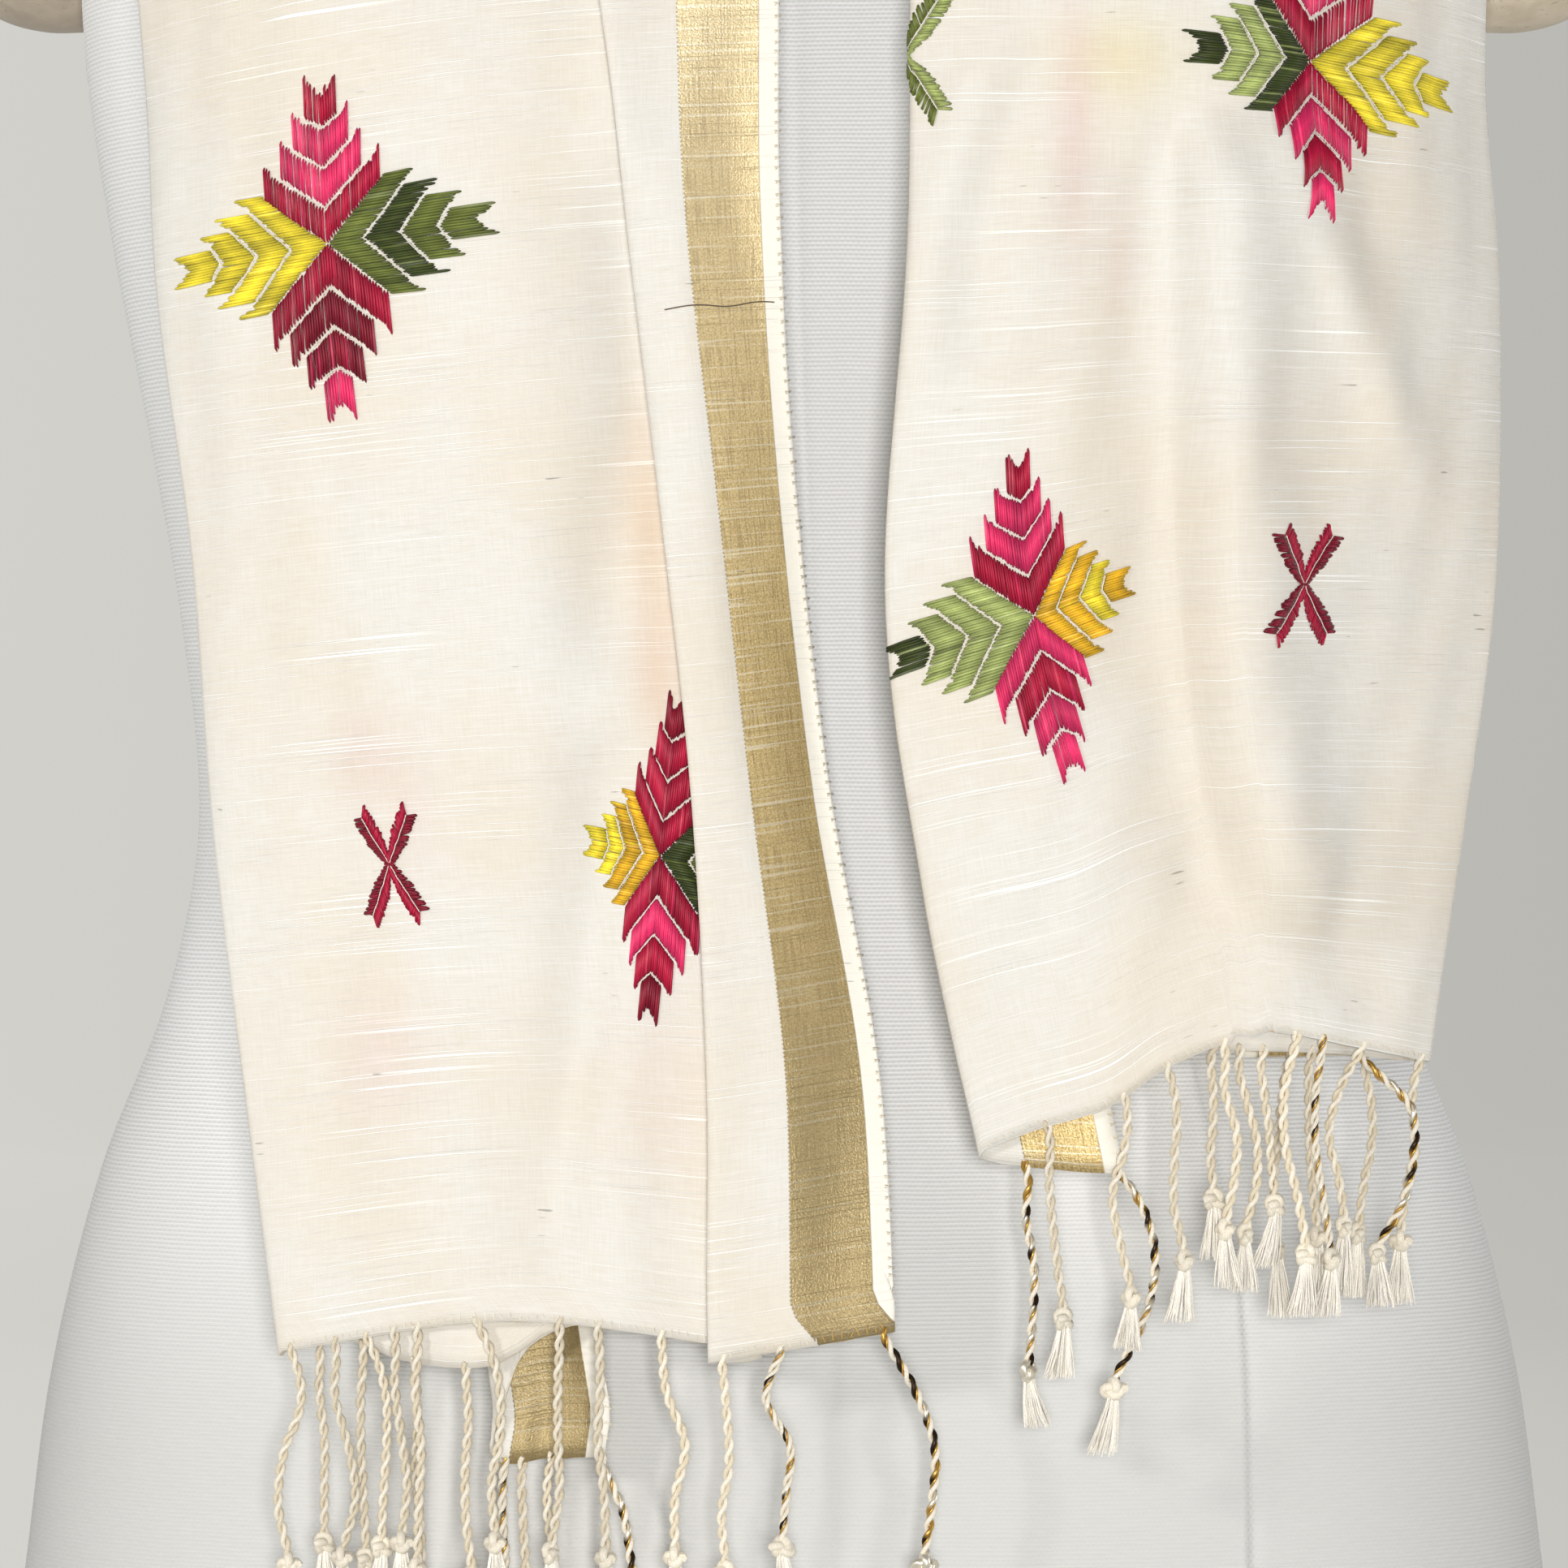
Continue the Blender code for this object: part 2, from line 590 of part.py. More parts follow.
def stretch(drape, name, first, last):
    """One stretch of the stole, a lofted sheet given its thickness both ways."""
    bm = bmesh.new()
    rows = [drape.points(v) for v in spaced(first, last, ROW_SPACING)]
    grid = [[bm.verts.new(point) for point in row] for row in rows]
    for low, high in zip(grid, grid[1:]):
        for k in range(len(low) - 1):
            bm.faces.new((low[k], low[k + 1], high[k + 1], high[k]))
    made = add_object(name, bm, "stole_cloth")
    wall = made.modifiers.new("cloth wall", "SOLIDIFY")
    wall.thickness = CLOTH_THICK
    wall.offset = 0.0


def strand_rings(root, down, across, deep, strand):
    """Square rings from the strip down to the knot and through the tuft."""
    length, stray = strand[2], strand[3:]
    stray_table = [(0.0, 0.0), *((k + 1, s) for k, s in enumerate(stray)), (5, stray[-1])]
    rings = []
    tall = length * CM

    def ring(distance, width):
        level = 4 * distance / tall
        sideways = Vector((between(stray_table, level)[0] * CM, 0, 0))
        settle = ease(distance / (STRAND_SETTLES * tall))
        heading = down.lerp(Vector((0, 0, -1)), settle).normalized()
        middle = root + heading * distance + sideways
        rings.append([
            middle + across * sx * width / 2 + deep * sy * width / 2
            for sx, sy in ((-1, -1), (1, -1), (1, 1), (-1, 1))
        ])

    for k in range(1, STRAND_RINGS + 1):
        ring(tall * k / (STRAND_RINGS + 1), STRAND_WIDTH)
    ring(tall, KNOT_WIDTH)
    ring(tall + KNOT_WIDTH, STRAND_WIDTH)
    ring(tall + KNOT_WIDTH + TUFT_LENGTH, TUFT_WIDTH)
    return rings


def strip_cuts(run, strands):
    """Where the strip has corners: at the hem's own points and both sides of each strand."""
    half = STRAND_WIDTH / CM / 2
    starts = [sum(RUN_CELLS[:k]) + sum(FOLD_CELLS[:k]) for k in range(len(RUN_CELLS))]
    cuts = []
    for strand in strands:
        first = run[starts[strand[0]]]
        last = run[starts[strand[0]] + RUN_CELLS[strand[0]]]
        place = max(half + LEAST_CELL, first + (last - first) * strand[1])
        place = min(place, run[-1] - half - LEAST_CELL)
        cuts += [(place - half, strand), (place + half, strand)]
    roots = [(cuts[k][0] + cuts[k + 1][0]) / 2 for k in range(0, len(cuts), 2)]
    for place in run:
        if all(abs(place - root) > half + LEAST_CELL for root in roots):
            cuts.append((place, None))
    return sorted(cuts, key=lambda cut: cut[0])


def strip_corners(high, low, run, place):
    """The strip's four corners at one cut: upper back and front, lower front and back."""
    i = max(k for k in range(len(run) - 1) if k == 0 or run[k] <= place)
    t = (place - run[i]) / (run[i + 1] - run[i])
    top, bottom = high[i].lerp(high[i + 1], t), low[i].lerp(low[i + 1], t)
    before = i - 1 if t < 0.02 and i else i
    across = (low[i + 1] - low[before]).normalized()
    deep = across.cross(bottom - top).normalized() * CLOTH_THICK / 2
    return top - deep, top + deep, bottom + deep, bottom - deep


def fringe(drape, name, end, inward, strands):
    """A narrow strip at the hem, with every strand drawn out of its lower edge."""
    high, low = drape.points(end + inward * FRINGE_STRIP), drape.points(end)
    run = [0.0]
    for here, there in zip(low, low[1:]):
        run.append(run[-1] + (there - here).length / CM)
    cuts = strip_cuts(run, strands)
    bm = bmesh.new()
    made = [
        [bm.verts.new(point) for point in strip_corners(high, low, run, place)]
        for place, _ in cuts
    ]
    bm.faces.new(made[0])
    bm.faces.new(made[-1])
    for j, (left, right) in enumerate(zip(made, made[1:])):
        strand = cuts[j][1]
        is_root = strand is not None and cuts[j + 1][1] is strand
        for a, b in ((0, 1), (1, 2), (2, 3), (3, 0)):
            if (a, b) != (2, 3) or not is_root:
                bm.faces.new((left[a], left[b], right[b], right[a]))
        if not is_root:
            continue
        last = [left[3], right[3], right[2], left[2]]
        root = sum((corner.co for corner in last), Vector()) / 4
        across = (right[2].co - left[2].co).normalized()
        deep = (left[2].co - left[3].co).normalized()
        down = (left[2].co - left[1].co).normalized()
        for points in strand_rings(root, down, across, deep, strand):
            ring = [bm.verts.new(point) for point in points]
            for a in range(4):
                b = (a + 1) % 4
                bm.faces.new((last[a], last[b], ring[b], ring[a]))
            last = ring
        bm.faces.new(last)
    add_object(name, bm, "fringe_thread", smooth=False)


def stole(form):
    drape = Drape(form)
    left = drape.reach[SHOULDER_LEFT]
    middle = drape.reach[MIDDLE_BACK]
    right = drape.reach[SHOULDER_RIGHT]
    seam = GAP / CM
    hem = FRINGE_STRIP + STRIP_GAP
    stretch(drape, "stole_left_front", hem, left - seam)
    stretch(drape, "stole_left_back", left + seam, middle - seam)
    stretch(drape, "stole_right_back", middle + seam, right - seam)
    stretch(drape, "stole_right_front", right + seam, drape.length - hem)
    fringe(drape, "fringe_left", 0.0, 1, LEFT_STRANDS)
    fringe(drape, "fringe_right", drape.length, -1, RIGHT_STRANDS)
    return drape


def main():
    clear_scene()
    bpy.context.scene.collection.children.link(bpy.data.collections.new("stole_on_form"))
    form = torso()
    bpy.context.view_layer.update()
    base()
    caps()
    drape = stole(form)
    print(f"stole {drape.length:.1f} cm long, {STOLE_WIDTH} cm wide")


main()
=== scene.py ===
import math

import bmesh
import bpy
import numpy as np
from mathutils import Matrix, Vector
from mathutils.bvhtree import BVHTree


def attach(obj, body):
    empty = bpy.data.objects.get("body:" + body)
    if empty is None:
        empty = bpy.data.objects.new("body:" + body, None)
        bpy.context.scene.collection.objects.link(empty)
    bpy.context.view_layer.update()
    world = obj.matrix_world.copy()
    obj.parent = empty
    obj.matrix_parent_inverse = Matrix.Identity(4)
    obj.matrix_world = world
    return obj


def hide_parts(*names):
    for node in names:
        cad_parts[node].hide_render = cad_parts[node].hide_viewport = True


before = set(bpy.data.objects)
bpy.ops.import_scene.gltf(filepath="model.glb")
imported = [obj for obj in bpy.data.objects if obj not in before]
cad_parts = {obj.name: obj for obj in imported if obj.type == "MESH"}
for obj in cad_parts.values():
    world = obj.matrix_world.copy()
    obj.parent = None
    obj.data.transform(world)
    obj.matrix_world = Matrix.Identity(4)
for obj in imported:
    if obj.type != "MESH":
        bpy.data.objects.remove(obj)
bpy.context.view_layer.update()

cm = 0.01
waist = 0.2923   # height of the form's waist above the table, metres
rng = np.random.default_rng(41)


# small helpers
def linear(hexColour):
    parts = [int(hexColour[i:i + 2], 16) / 255 for i in (1, 3, 5)]
    return tuple(p / 12.92 if p <= 0.04045 else ((p + 0.055) / 1.055) ** 2.4 for p in parts)


def ease(x):
    x = np.clip(x, 0.0, 1.0)
    return x * x * (3 - 2 * x)


def bell(x):
    return np.exp(-np.square(x))


def between(table, x):
    # smooth curve through a table's rows, keyed by the first column
    i = max(j for j in range(len(table) - 1) if j == 0 or table[j][0] <= x)

    def slope(j, c):
        low, high = max(j - 1, 0), min(j + 1, len(table) - 1)
        return (table[high][c] - table[low][c]) / (table[high][0] - table[low][0])

    span = table[i + 1][0] - table[i][0]
    t = min(max((x - table[i][0]) / span, 0.0), 1.0)
    h00, h10 = (1 + 2 * t) * (1 - t) ** 2, t * (1 - t) ** 2
    h01, h11 = t * t * (3 - 2 * t), t * t * (t - 1)
    return np.array([
        h00 * table[i][c] + h10 * span * slope(i, c)
        + h01 * table[i + 1][c] + h11 * span * slope(i + 1, c)
        for c in range(1, len(table[0]))
    ])


def meshPiece(name, points, faces, material):
    mesh = bpy.data.meshes.new(name)
    mesh.from_pydata([tuple(p) for p in points], [], faces)
    mesh.update()
    mesh.materials.append(material)
    mesh.shade_smooth()
    piece = bpy.data.objects.new(name, mesh)
    bpy.context.scene.collection.objects.link(piece)
    return piece


def gridFaces(rows, columns, wrap=False):
    faces = []
    for i in range(rows - 1):
        for j in range(columns if wrap else columns - 1):
            k = (j + 1) % columns
            faces.append((i * columns + j, i * columns + k, (i + 1) * columns + k, (i + 1) * columns + j))
    return faces


def turnOut(piece):
    bm = bmesh.new()
    bm.from_mesh(piece.data)
    bmesh.ops.recalc_face_normals(bm, faces=bm.faces[:])
    bm.to_mesh(piece.data)
    bm.free()


# materials
def newMaterial(name, roughness, metallic=0.0, sheen=0.0, sheenRoughness=0.4, specular=0.5):
    material = bpy.data.materials.new(name)
    material.use_nodes = True
    shader = material.node_tree.nodes["Principled BSDF"]
    shader.inputs["Roughness"].default_value = roughness
    shader.inputs["Metallic"].default_value = metallic
    shader.inputs["Sheen Weight"].default_value = sheen
    shader.inputs["Sheen Roughness"].default_value = sheenRoughness
    shader.inputs["Specular IOR Level"].default_value = specular
    return material, material.node_tree, shader


def add(tree, kind, settings=None, **inputs):
    # one node; inputs are values or the sockets that feed them, by socket name or number
    node = tree.nodes.new(kind)
    for key, value in (settings or {}).items():
        setattr(node, key, value)
    for key, value in inputs.items():
        key = int(key[1:]) if key[0] == "n" and key[1:].isdigit() else key.replace("_", " ")
        socket = node.inputs[key]
        if isinstance(value, bpy.types.NodeSocket):
            tree.links.new(value, socket)
        else:
            socket.default_value = value
    return node


def sums(tree, operation, a, b=0.0):
    return add(tree, "ShaderNodeMath", {"operation": operation}, n0=a, n1=b).outputs[0]


def times(tree, a, b):
    return sums(tree, "MULTIPLY", a, b)


def plus(tree, a, b):
    return sums(tree, "ADD", a, b)


def apart(tree, a, b):
    # the distance between two values
    return sums(tree, "ABSOLUTE", sums(tree, "SUBTRACT", a, b))


def noise(tree, vector, scale, detail=2.0, rough=0.5):
    node = add(tree, "ShaderNodeTexNoise", Vector=vector, Scale=scale, Detail=detail, Roughness=rough)
    return node.outputs["Fac"]


def stretched(tree, vector, x, y, z=1.0):
    return add(tree, "ShaderNodeVectorMath", {"operation": "MULTIPLY"}, n0=vector, n1=(x, y, z)).outputs[0]


def window(tree, value, low, high, out0=0.0, out1=1.0):
    node = add(tree, "ShaderNodeMapRange", {"interpolation_type": "SMOOTHSTEP"}, Value=value)
    for socket, number in zip(("From Min", "From Max", "To Min", "To Max"), (low, high, out0, out1)):
        node.inputs[socket].default_value = number
    return node.outputs["Result"]


def blend(tree, share, a, b, kind="MIX"):
    node = add(tree, "ShaderNodeMix", {"data_type": "RGBA", "blend_type": kind})
    for number, value in ((0, share), (6, a), (7, b)):
        if isinstance(value, bpy.types.NodeSocket):
            tree.links.new(value, node.inputs[number])
        elif number == 0:
            node.inputs[0].default_value = value
        else:
            node.inputs[number].default_value = (*value, 1.0)
    return node.outputs[2]


def bump(tree, shader, height, distance, strength=1.0):
    node = add(tree, "ShaderNodeBump", Height=height, Distance=distance, Strength=strength)
    tree.links.new(node.outputs["Normal"], shader.inputs["Normal"])


clothLook = {
    "ivory": "#DEDBD4", "warm": "#DDD4C6", "weave": "#C9BEA8", "slub": "#F8F6F0", "selvedge": "#F1ECDF",
    "zari": "#C1A264", "zariLight": "#DBC794", "zariDark": "#866C3E", "zariWorn": "#8D7D5A", "bars": "#EBE0C6",
    "fleck": "#4A4438", "dots": "#6E5A34",
    # places in the flat cloth, cm
    "width": 28.5, "middle": 88.3, "borderIn": 2.05, "borderOut": 0.40, "blur": 0.015, "dotStep": 0.085,
}


def clothMaterial():
    # handloom silk-cotton: fine weft slubs, woven gold borders, cream selvedges
    look = clothLook
    material, tree, shader = newMaterial(
        "ivory handloom silk cotton", 0.62, sheen=0.18, sheenRoughness=0.35, specular=0.35)
    flat = add(tree, "ShaderNodeAttribute", {"attribute_name": "flat"}).outputs["Vector"]
    split = add(tree, "ShaderNodeSeparateXYZ", Vector=flat)
    u, v = split.outputs[0], split.outputs[1]
    fromEdge = sums(tree, "MINIMUM", u, sums(tree, "SUBTRACT", look["width"], u))

    def grain(across, along, detail=2.0, rough=0.5):
        # noise with so many waves to a centimetre across the cloth and along it
        return noise(tree, stretched(tree, flat, across, along), 1.0, detail, rough)

    cloudy = grain(0.22, 0.16, 3.0)
    base = blend(tree, window(tree, cloudy, 0.35, 0.68), linear(look["ivory"]), linear(look["warm"]))
    # slubs are a few centimetres long and a quarter of a millimetre thick
    slubs = grain(0.15, 27.0, 1.0, 0.3)
    patches = grain(0.22, 0.9)
    slubLine = times(tree, window(tree, slubs, 0.595, 0.675), window(tree, patches, 0.38, 0.62, 0.2, 0.95))
    weft = grain(1.6, 34.0)
    warp = grain(30.0, 1.4)
    thread = plus(tree, times(tree, weft, 0.6), times(tree, warp, 0.4))
    base = blend(tree, window(tree, thread, 0.35, 0.65, 0.0, 0.34), base, linear(look["weave"]))
    base = blend(tree, slubLine, base, linear(look["slub"]))

    glitter = grain(22.0, 22.0, 2.0, 0.6)
    streak = grain(24.0, 1.1)
    gold = blend(tree, window(tree, glitter, 0.36, 0.64), linear(look["zari"]), linear(look["zariLight"]))
    gold = blend(tree, window(tree, streak, 0.46, 0.66, 0.0, 0.45), gold, linear(look["zariDark"]))
    goldBars = grain(0.25, 15.0, 1.0, 0.3)
    gold = blend(tree, window(tree, goldBars, 0.56, 0.70, 0.0, 0.6), gold, linear(look["bars"]))
    # the border is palest at the middle of the stole and most worn at its left end
    paler = window(tree, apart(tree, v, look["middle"]), 50.0, 78.0, 0.55, 0.0)
    gold = blend(tree, paler, gold, linear(look["bars"]))
    worn = window(tree, v, 3.0, 15.0, 0.72, 0.0)
    gold = blend(tree, worn, gold, linear(look["zariWorn"]))
    outer, inner, blur = look["borderOut"], look["borderIn"], look["blur"]
    inBorder = times(
        tree, window(tree, fromEdge, outer - blur, outer + blur),
        window(tree, fromEdge, inner - blur, inner + blur, 1.0, 0.0),
    )
    inSelvedge = window(tree, fromEdge, outer - 0.02, outer + 0.01, 1.0, 0.0)
    colour = blend(tree, inBorder, base, gold)
    colour = blend(tree, times(tree, inSelvedge, 0.8), colour, linear(look["selvedge"]))

    # a dark thread dots the border's inner edge
    dots = sums(tree, "SINE", times(tree, v, 2 * math.pi / look["dotStep"]))
    dotLine = times(
        tree, window(tree, dots, -0.3, 0.5), window(tree, apart(tree, fromEdge, inner), 0.006, 0.026, 0.62, 0.0))
    colour = blend(tree, dotLine, colour, linear(look["dots"]))

    # rare dark fibres caught in the weave
    fleckSpots = grain(1.8, 13.0, 1.0, 0.3)
    fleckPlaces = grain(0.55, 0.6)
    sparse = window(tree, fleckPlaces, 0.62, 0.68, 0.0, 0.5)
    flecks = times(tree, window(tree, fleckSpots, 0.71, 0.76), sparse)
    colour = blend(tree, flecks, colour, linear(look["fleck"]))

    # embroidery of the layer underneath shows faintly through
    ghost = add(tree, "ShaderNodeAttribute", {"attribute_name": "ghost"})
    colour = blend(tree, ghost.outputs["Alpha"], colour, ghost.outputs["Color"], "MULTIPLY")

    # gold thread is shinier and stands higher
    tree.links.new(colour, shader.inputs["Base Color"])
    tree.links.new(times(tree, inBorder, 0.45), shader.inputs["Metallic"])
    tree.links.new(sums(tree, "SUBTRACT", 0.66, times(tree, inBorder, 0.24)), shader.inputs["Roughness"])
    relief = plus(tree, times(tree, thread, 0.5), times(tree, slubLine, 0.35))
    relief = plus(tree, relief, times(tree, glitter, times(tree, inBorder, 0.8)))
    bump(tree, shader, relief, 0.00022)
    return material


canvasLook = {
    "grooveShade": "#E2E1DF", "ribs": "#FBFBFA", "mottle": "#E4E2DE", "soil": "#EDEBE7", "lowShade": "#CFCECA",
    # metres: between ribs, between beads, how far a rib wanders, and where below the waist the painted shade
    # falls
    "rib": 0.0009, "bead": 0.0011, "wander": 0.0005, "lowShadeFrom": 0.01, "lowShadeTo": 0.13,
}


def canvasMaterial():
    # cotton duck: fine ribs across the form, each broken into small beads
    look = canvasLook
    material, tree, shader = newMaterial("white cotton duck", 0.85, sheen=0.1, specular=0.2)
    place = add(tree, "ShaderNodeTexCoord").outputs["Object"]
    split = add(tree, "ShaderNodeSeparateXYZ", Vector=place)
    wander = noise(tree, place, 60.0, 2.0)
    height = plus(tree, split.outputs[2], times(tree, wander, look["wander"]))
    ribs = sums(tree, "SINE", times(tree, height, 2 * math.pi / look["rib"]))
    row = sums(tree, "FLOOR", sums(tree, "DIVIDE", height, look["rib"]))
    shift = times(tree, row, math.pi)
    beads = sums(tree, "SINE", plus(tree, times(tree, split.outputs[0], 2 * math.pi / look["bead"]), shift))
    weave = plus(tree, times(tree, ribs, 0.42), times(tree, beads, 0.14))
    weave = plus(tree, weave, 0.5)
    mottled = noise(tree, place, 900.0, 2.0)
    soiled = noise(tree, place, 9.0, 3.0)
    # painted shade: the grooves between the ribs take a darker colour, besides the bump
    colour = blend(tree, window(tree, weave, 0.0, 0.9), linear(look["grooveShade"]), linear(look["ribs"]))
    colour = blend(tree, window(tree, mottled, 0.4, 0.75, 0.0, 0.20), colour, linear(look["mottle"]))
    colour = blend(tree, window(tree, soiled, 0.45, 0.75, 0.0, 0.30), colour, linear(look["soil"]))
    # painted shade: greyer low down, for the light falling off towards the bottom
    lowShade = window(tree, split.outputs[2], waist - look["lowShadeFrom"], waist - look["lowShadeTo"], 0.0, 0.9)
    colour = blend(tree, lowShade, colour, linear(look["lowShade"]))
    tree.links.new(colour, shader.inputs["Base Color"])
    bump(tree, shader, weave, 0.0002)
    return material


# pale turned beech, and the same beech darker as painted shade for the left shoulder cap
woodLook = {
    "pale": ("#C9B9A0", "#E0D3BD"), "inShade": ("#A69886", "#C2B4A1"), "flecks": "#8B7660", "roughness": 0.42,
}


def woodMaterial(name, dark, light):
    # turned beech under satin varnish: long grain and short flecks
    roughness = woodLook["roughness"]
    material, tree, shader = newMaterial(name, roughness, specular=0.5)
    place = add(tree, "ShaderNodeTexCoord").outputs["Object"]
    grain = noise(tree, stretched(tree, place, 160.0, 160.0, 14.0), 1.0, 4.0, 0.6)
    flecks = noise(tree, stretched(tree, place, 700.0, 700.0, 60.0), 1.0, 2.0)
    rings = noise(tree, stretched(tree, place, 26.0, 26.0, 5.0), 1.0, 3.0)
    colour = blend(tree, window(tree, grain, 0.3, 0.7), linear(dark), linear(light))
    colour = blend(tree, window(tree, rings, 0.35, 0.7, 0.0, 0.5), colour, linear(dark))
    colour = blend(tree, window(tree, flecks, 0.62, 0.72, 0.0, 0.4), colour, linear(woodLook["flecks"]))
    tree.links.new(colour, shader.inputs["Base Color"])
    satin = window(tree, grain, 0.2, 0.8, roughness - 0.08, roughness + 0.12)
    tree.links.new(satin, shader.inputs["Roughness"])
    bump(tree, shader, grain, 0.00025, 0.6)
    return material


threadLook = {"shadow": (0.5, 0.42, 0.32), "fibres": (5200.0, 5200.0, 2400.0)}


def threadMaterial(name, roughness, sheen=0.05, specular=0.5):
    # dyed thread: each one carries its own shade
    material, tree, shader = newMaterial(name, roughness, sheen=sheen, specular=specular)
    own = add(tree, "ShaderNodeAttribute", {"attribute_name": "shade"}).outputs["Color"]
    place = add(tree, "ShaderNodeTexCoord").outputs["Object"]
    fibres = noise(tree, stretched(tree, place, *threadLook["fibres"]), 1.0, 2.0)
    dips = window(tree, fibres, 0.35, 0.7, 0.0, 0.35)
    tree.links.new(blend(tree, dips, own, threadLook["shadow"], "MULTIPLY"), shader.inputs["Base Color"])
    return material


def goldThreadMaterial():
    # metal-wrapped thread; its shades carry the worn, darkened turns
    material, tree, shader = newMaterial("gold zari thread", 0.34, metallic=0.75)
    own = add(tree, "ShaderNodeAttribute", {"attribute_name": "shade"}).outputs["Color"]
    tree.links.new(own, shader.inputs["Base Color"])
    return material


print("materials")
ivoryCloth = clothMaterial()
canvas = canvasMaterial()
paleWood = woodMaterial("pale turned beech", *woodLook["pale"])
# painted shade: the pale beech made darker for the left shoulder cap, which sits in shade
paintedShadeWood = woodMaterial("turned beech in painted shade", *woodLook["inShade"])
silkThread = threadMaterial("embroidery silk", 0.42, specular=0.28)
creamThread = threadMaterial("cream warp thread", 0.6, sheen=0.15)
goldThread = goldThreadMaterial()


# the dress form
formShape = {
    "rings": 170, "gapColumns": 22, "power": 0.90, "squaring": 0.28, "squaringReach": 8.0,
    "armholeX": 14.8, "armholeHeight": 24.2, "armholeHalf": 6.8, "armholeMargin": 3.0,
    "bustHeight": 16.5, "bustX": 8.6, "bustRise": 2.1, "bustReachX": 4.6, "bustReachZ": 6.0, "seamDepth": 0.07,
}
# height from the waist, half width, depth in front, depth behind
formSections = (
    (-27.0, 16.5, 10.9, 11.8), (-20.0, 16.7, 11.2, 12.3), (-15.0, 16.1, 11.0, 12.0), (-10.9, 15.55, 10.6, 11.3),
    (-6.7, 14.5, 10.0, 10.3), (-3.2, 13.15, 9.4, 9.4), (0.5, 12.45, 9.0, 8.8), (4.7, 12.8, 9.2, 8.8),
    (8.8, 13.5, 9.6, 9.0), (13.0, 14.3, 10.1, 9.4), (17.0, 14.85, 10.2, 9.7), (22.0, 15.0, 9.8, 9.9),
    (27.0, 15.1, 9.0, 9.9), (31.5, 15.3, 8.1, 9.5), (35.0, 15.6, 7.2, 8.6), (37.3, 14.9, 6.4, 7.5),
    (38.9, 13.0, 5.9, 6.6), (40.3, 10.4, 5.5, 6.0), (41.7, 8.0, 5.3, 5.6), (43.3, 6.5, 5.3, 5.3),
    (45.5, 6.0, 5.3, 5.1), (49.0, 5.8, 5.4, 5.0),
)
# height, centre front seam's x, princess seam's x, back princess seam's x
formSeams = (
    (-27.0, 1.0, 9.6, 9.0), (-14.6, 1.0, 9.55, 8.9), (-8.4, 1.0, 9.3, 8.4), (0.0, 0.8, 7.7, 7.2),
    (10.0, 0.32, 8.6, 7.6), (16.5, 0.2, 8.7, 8.0), (30.0, 0.1, 8.0, 7.8), (38.0, 0.0, 6.2, 6.0),
    (42.0, 0.0, 3.9, 3.9), (49.0, 0.0, 3.2, 3.2),
)


def formRing(height):
    # the form's outline at one height, with a groove at each seam
    shape = formShape
    halfWidth, front, behind = between(formSections, height)
    centre, princess, backPrincess = between(formSeams, height)
    fromArmhole = height - shape["armholeHeight"]
    power = shape["power"] - shape["squaring"] * math.exp(-((fromArmhole / shape["squaringReach"]) ** 2))

    def turnAt(x, inFront):
        share = math.acos(math.copysign(min(abs(x) / halfWidth, 1.0) ** (1 / power), x))
        return 2 * math.pi - share if inFront else share

    seams = [
        0.0, turnAt(backPrincess, False), math.pi / 2, turnAt(-backPrincess, False), math.pi,
        turnAt(-princess, True), turnAt(centre, True), turnAt(princess, True), 2 * math.pi,
    ]
    n = shape["gapColumns"]
    shares = np.array([0.0, 0.008, 0.03, *np.linspace(0.075, 0.925, n - 5), 0.97, 0.992])
    turns = np.concatenate([a + (b - a) * shares for a, b in zip(seams, seams[1:])])
    groove = np.tile(np.where(np.arange(n) == 0, 1.0, 0.0), len(seams) - 1)
    cosine, sine = np.cos(turns), np.sin(turns)
    x = halfWidth * np.sign(cosine) * np.abs(cosine) ** power
    deep = np.sign(sine) * np.abs(sine) ** power
    if abs(fromArmhole) <= shape["armholeHalf"] + shape["armholeMargin"]:
        x = np.clip(x, -shape["armholeX"], shape["armholeX"])
    bust = bell((np.abs(x) - shape["bustX"]) / shape["bustReachX"])
    bust = bust * bell((height - shape["bustHeight"]) / shape["bustReachZ"])
    y = np.where(deep < 0, front * deep - shape["bustRise"] * bust * ease(-2 * deep), behind * deep)
    inward = 1 - groove * shape["seamDepth"] / np.maximum(np.hypot(x, y), 1.0)
    return np.stack([x * inward * cm, y * inward * cm, np.full_like(x, waist + height * cm)], axis=1)


def makeForm():
    low, high = formSections[0][0], formSections[-1][0]
    heights = np.linspace(low, high, formShape["rings"])
    rings = [formRing(h) for h in heights]
    columns = len(rings[0])
    points = np.concatenate(rings)
    faces = gridFaces(len(rings), columns, wrap=True)
    faces.append(tuple(range(columns)))
    top = (len(rings) - 1) * columns
    faces.append(tuple(range(top, top + columns)))
    torso = meshPiece("canvas_torso", points, faces, canvas)
    turnOut(torso)
    return torso


def lathe(name, profile, place, sides, material):
    # a turned piece; place gives a point of the profile at an angle, and the last point closes the top
    rings, points, faces = profile[:-1], [], []
    for out, size in rings:
        points += [place(out, size, 2 * math.pi * k / sides) for k in range(sides)]
    points.append(place(*profile[-1], 0.0))
    faces = gridFaces(len(rings), sides, wrap=True)
    faces.append(tuple(range(sides)))
    last = (len(rings) - 1) * sides
    faces += [(last + k, last + (k + 1) % sides, len(points) - 1) for k in range(sides)]
    piece = meshPiece(name, points, faces, material)
    turnOut(piece)
    return piece


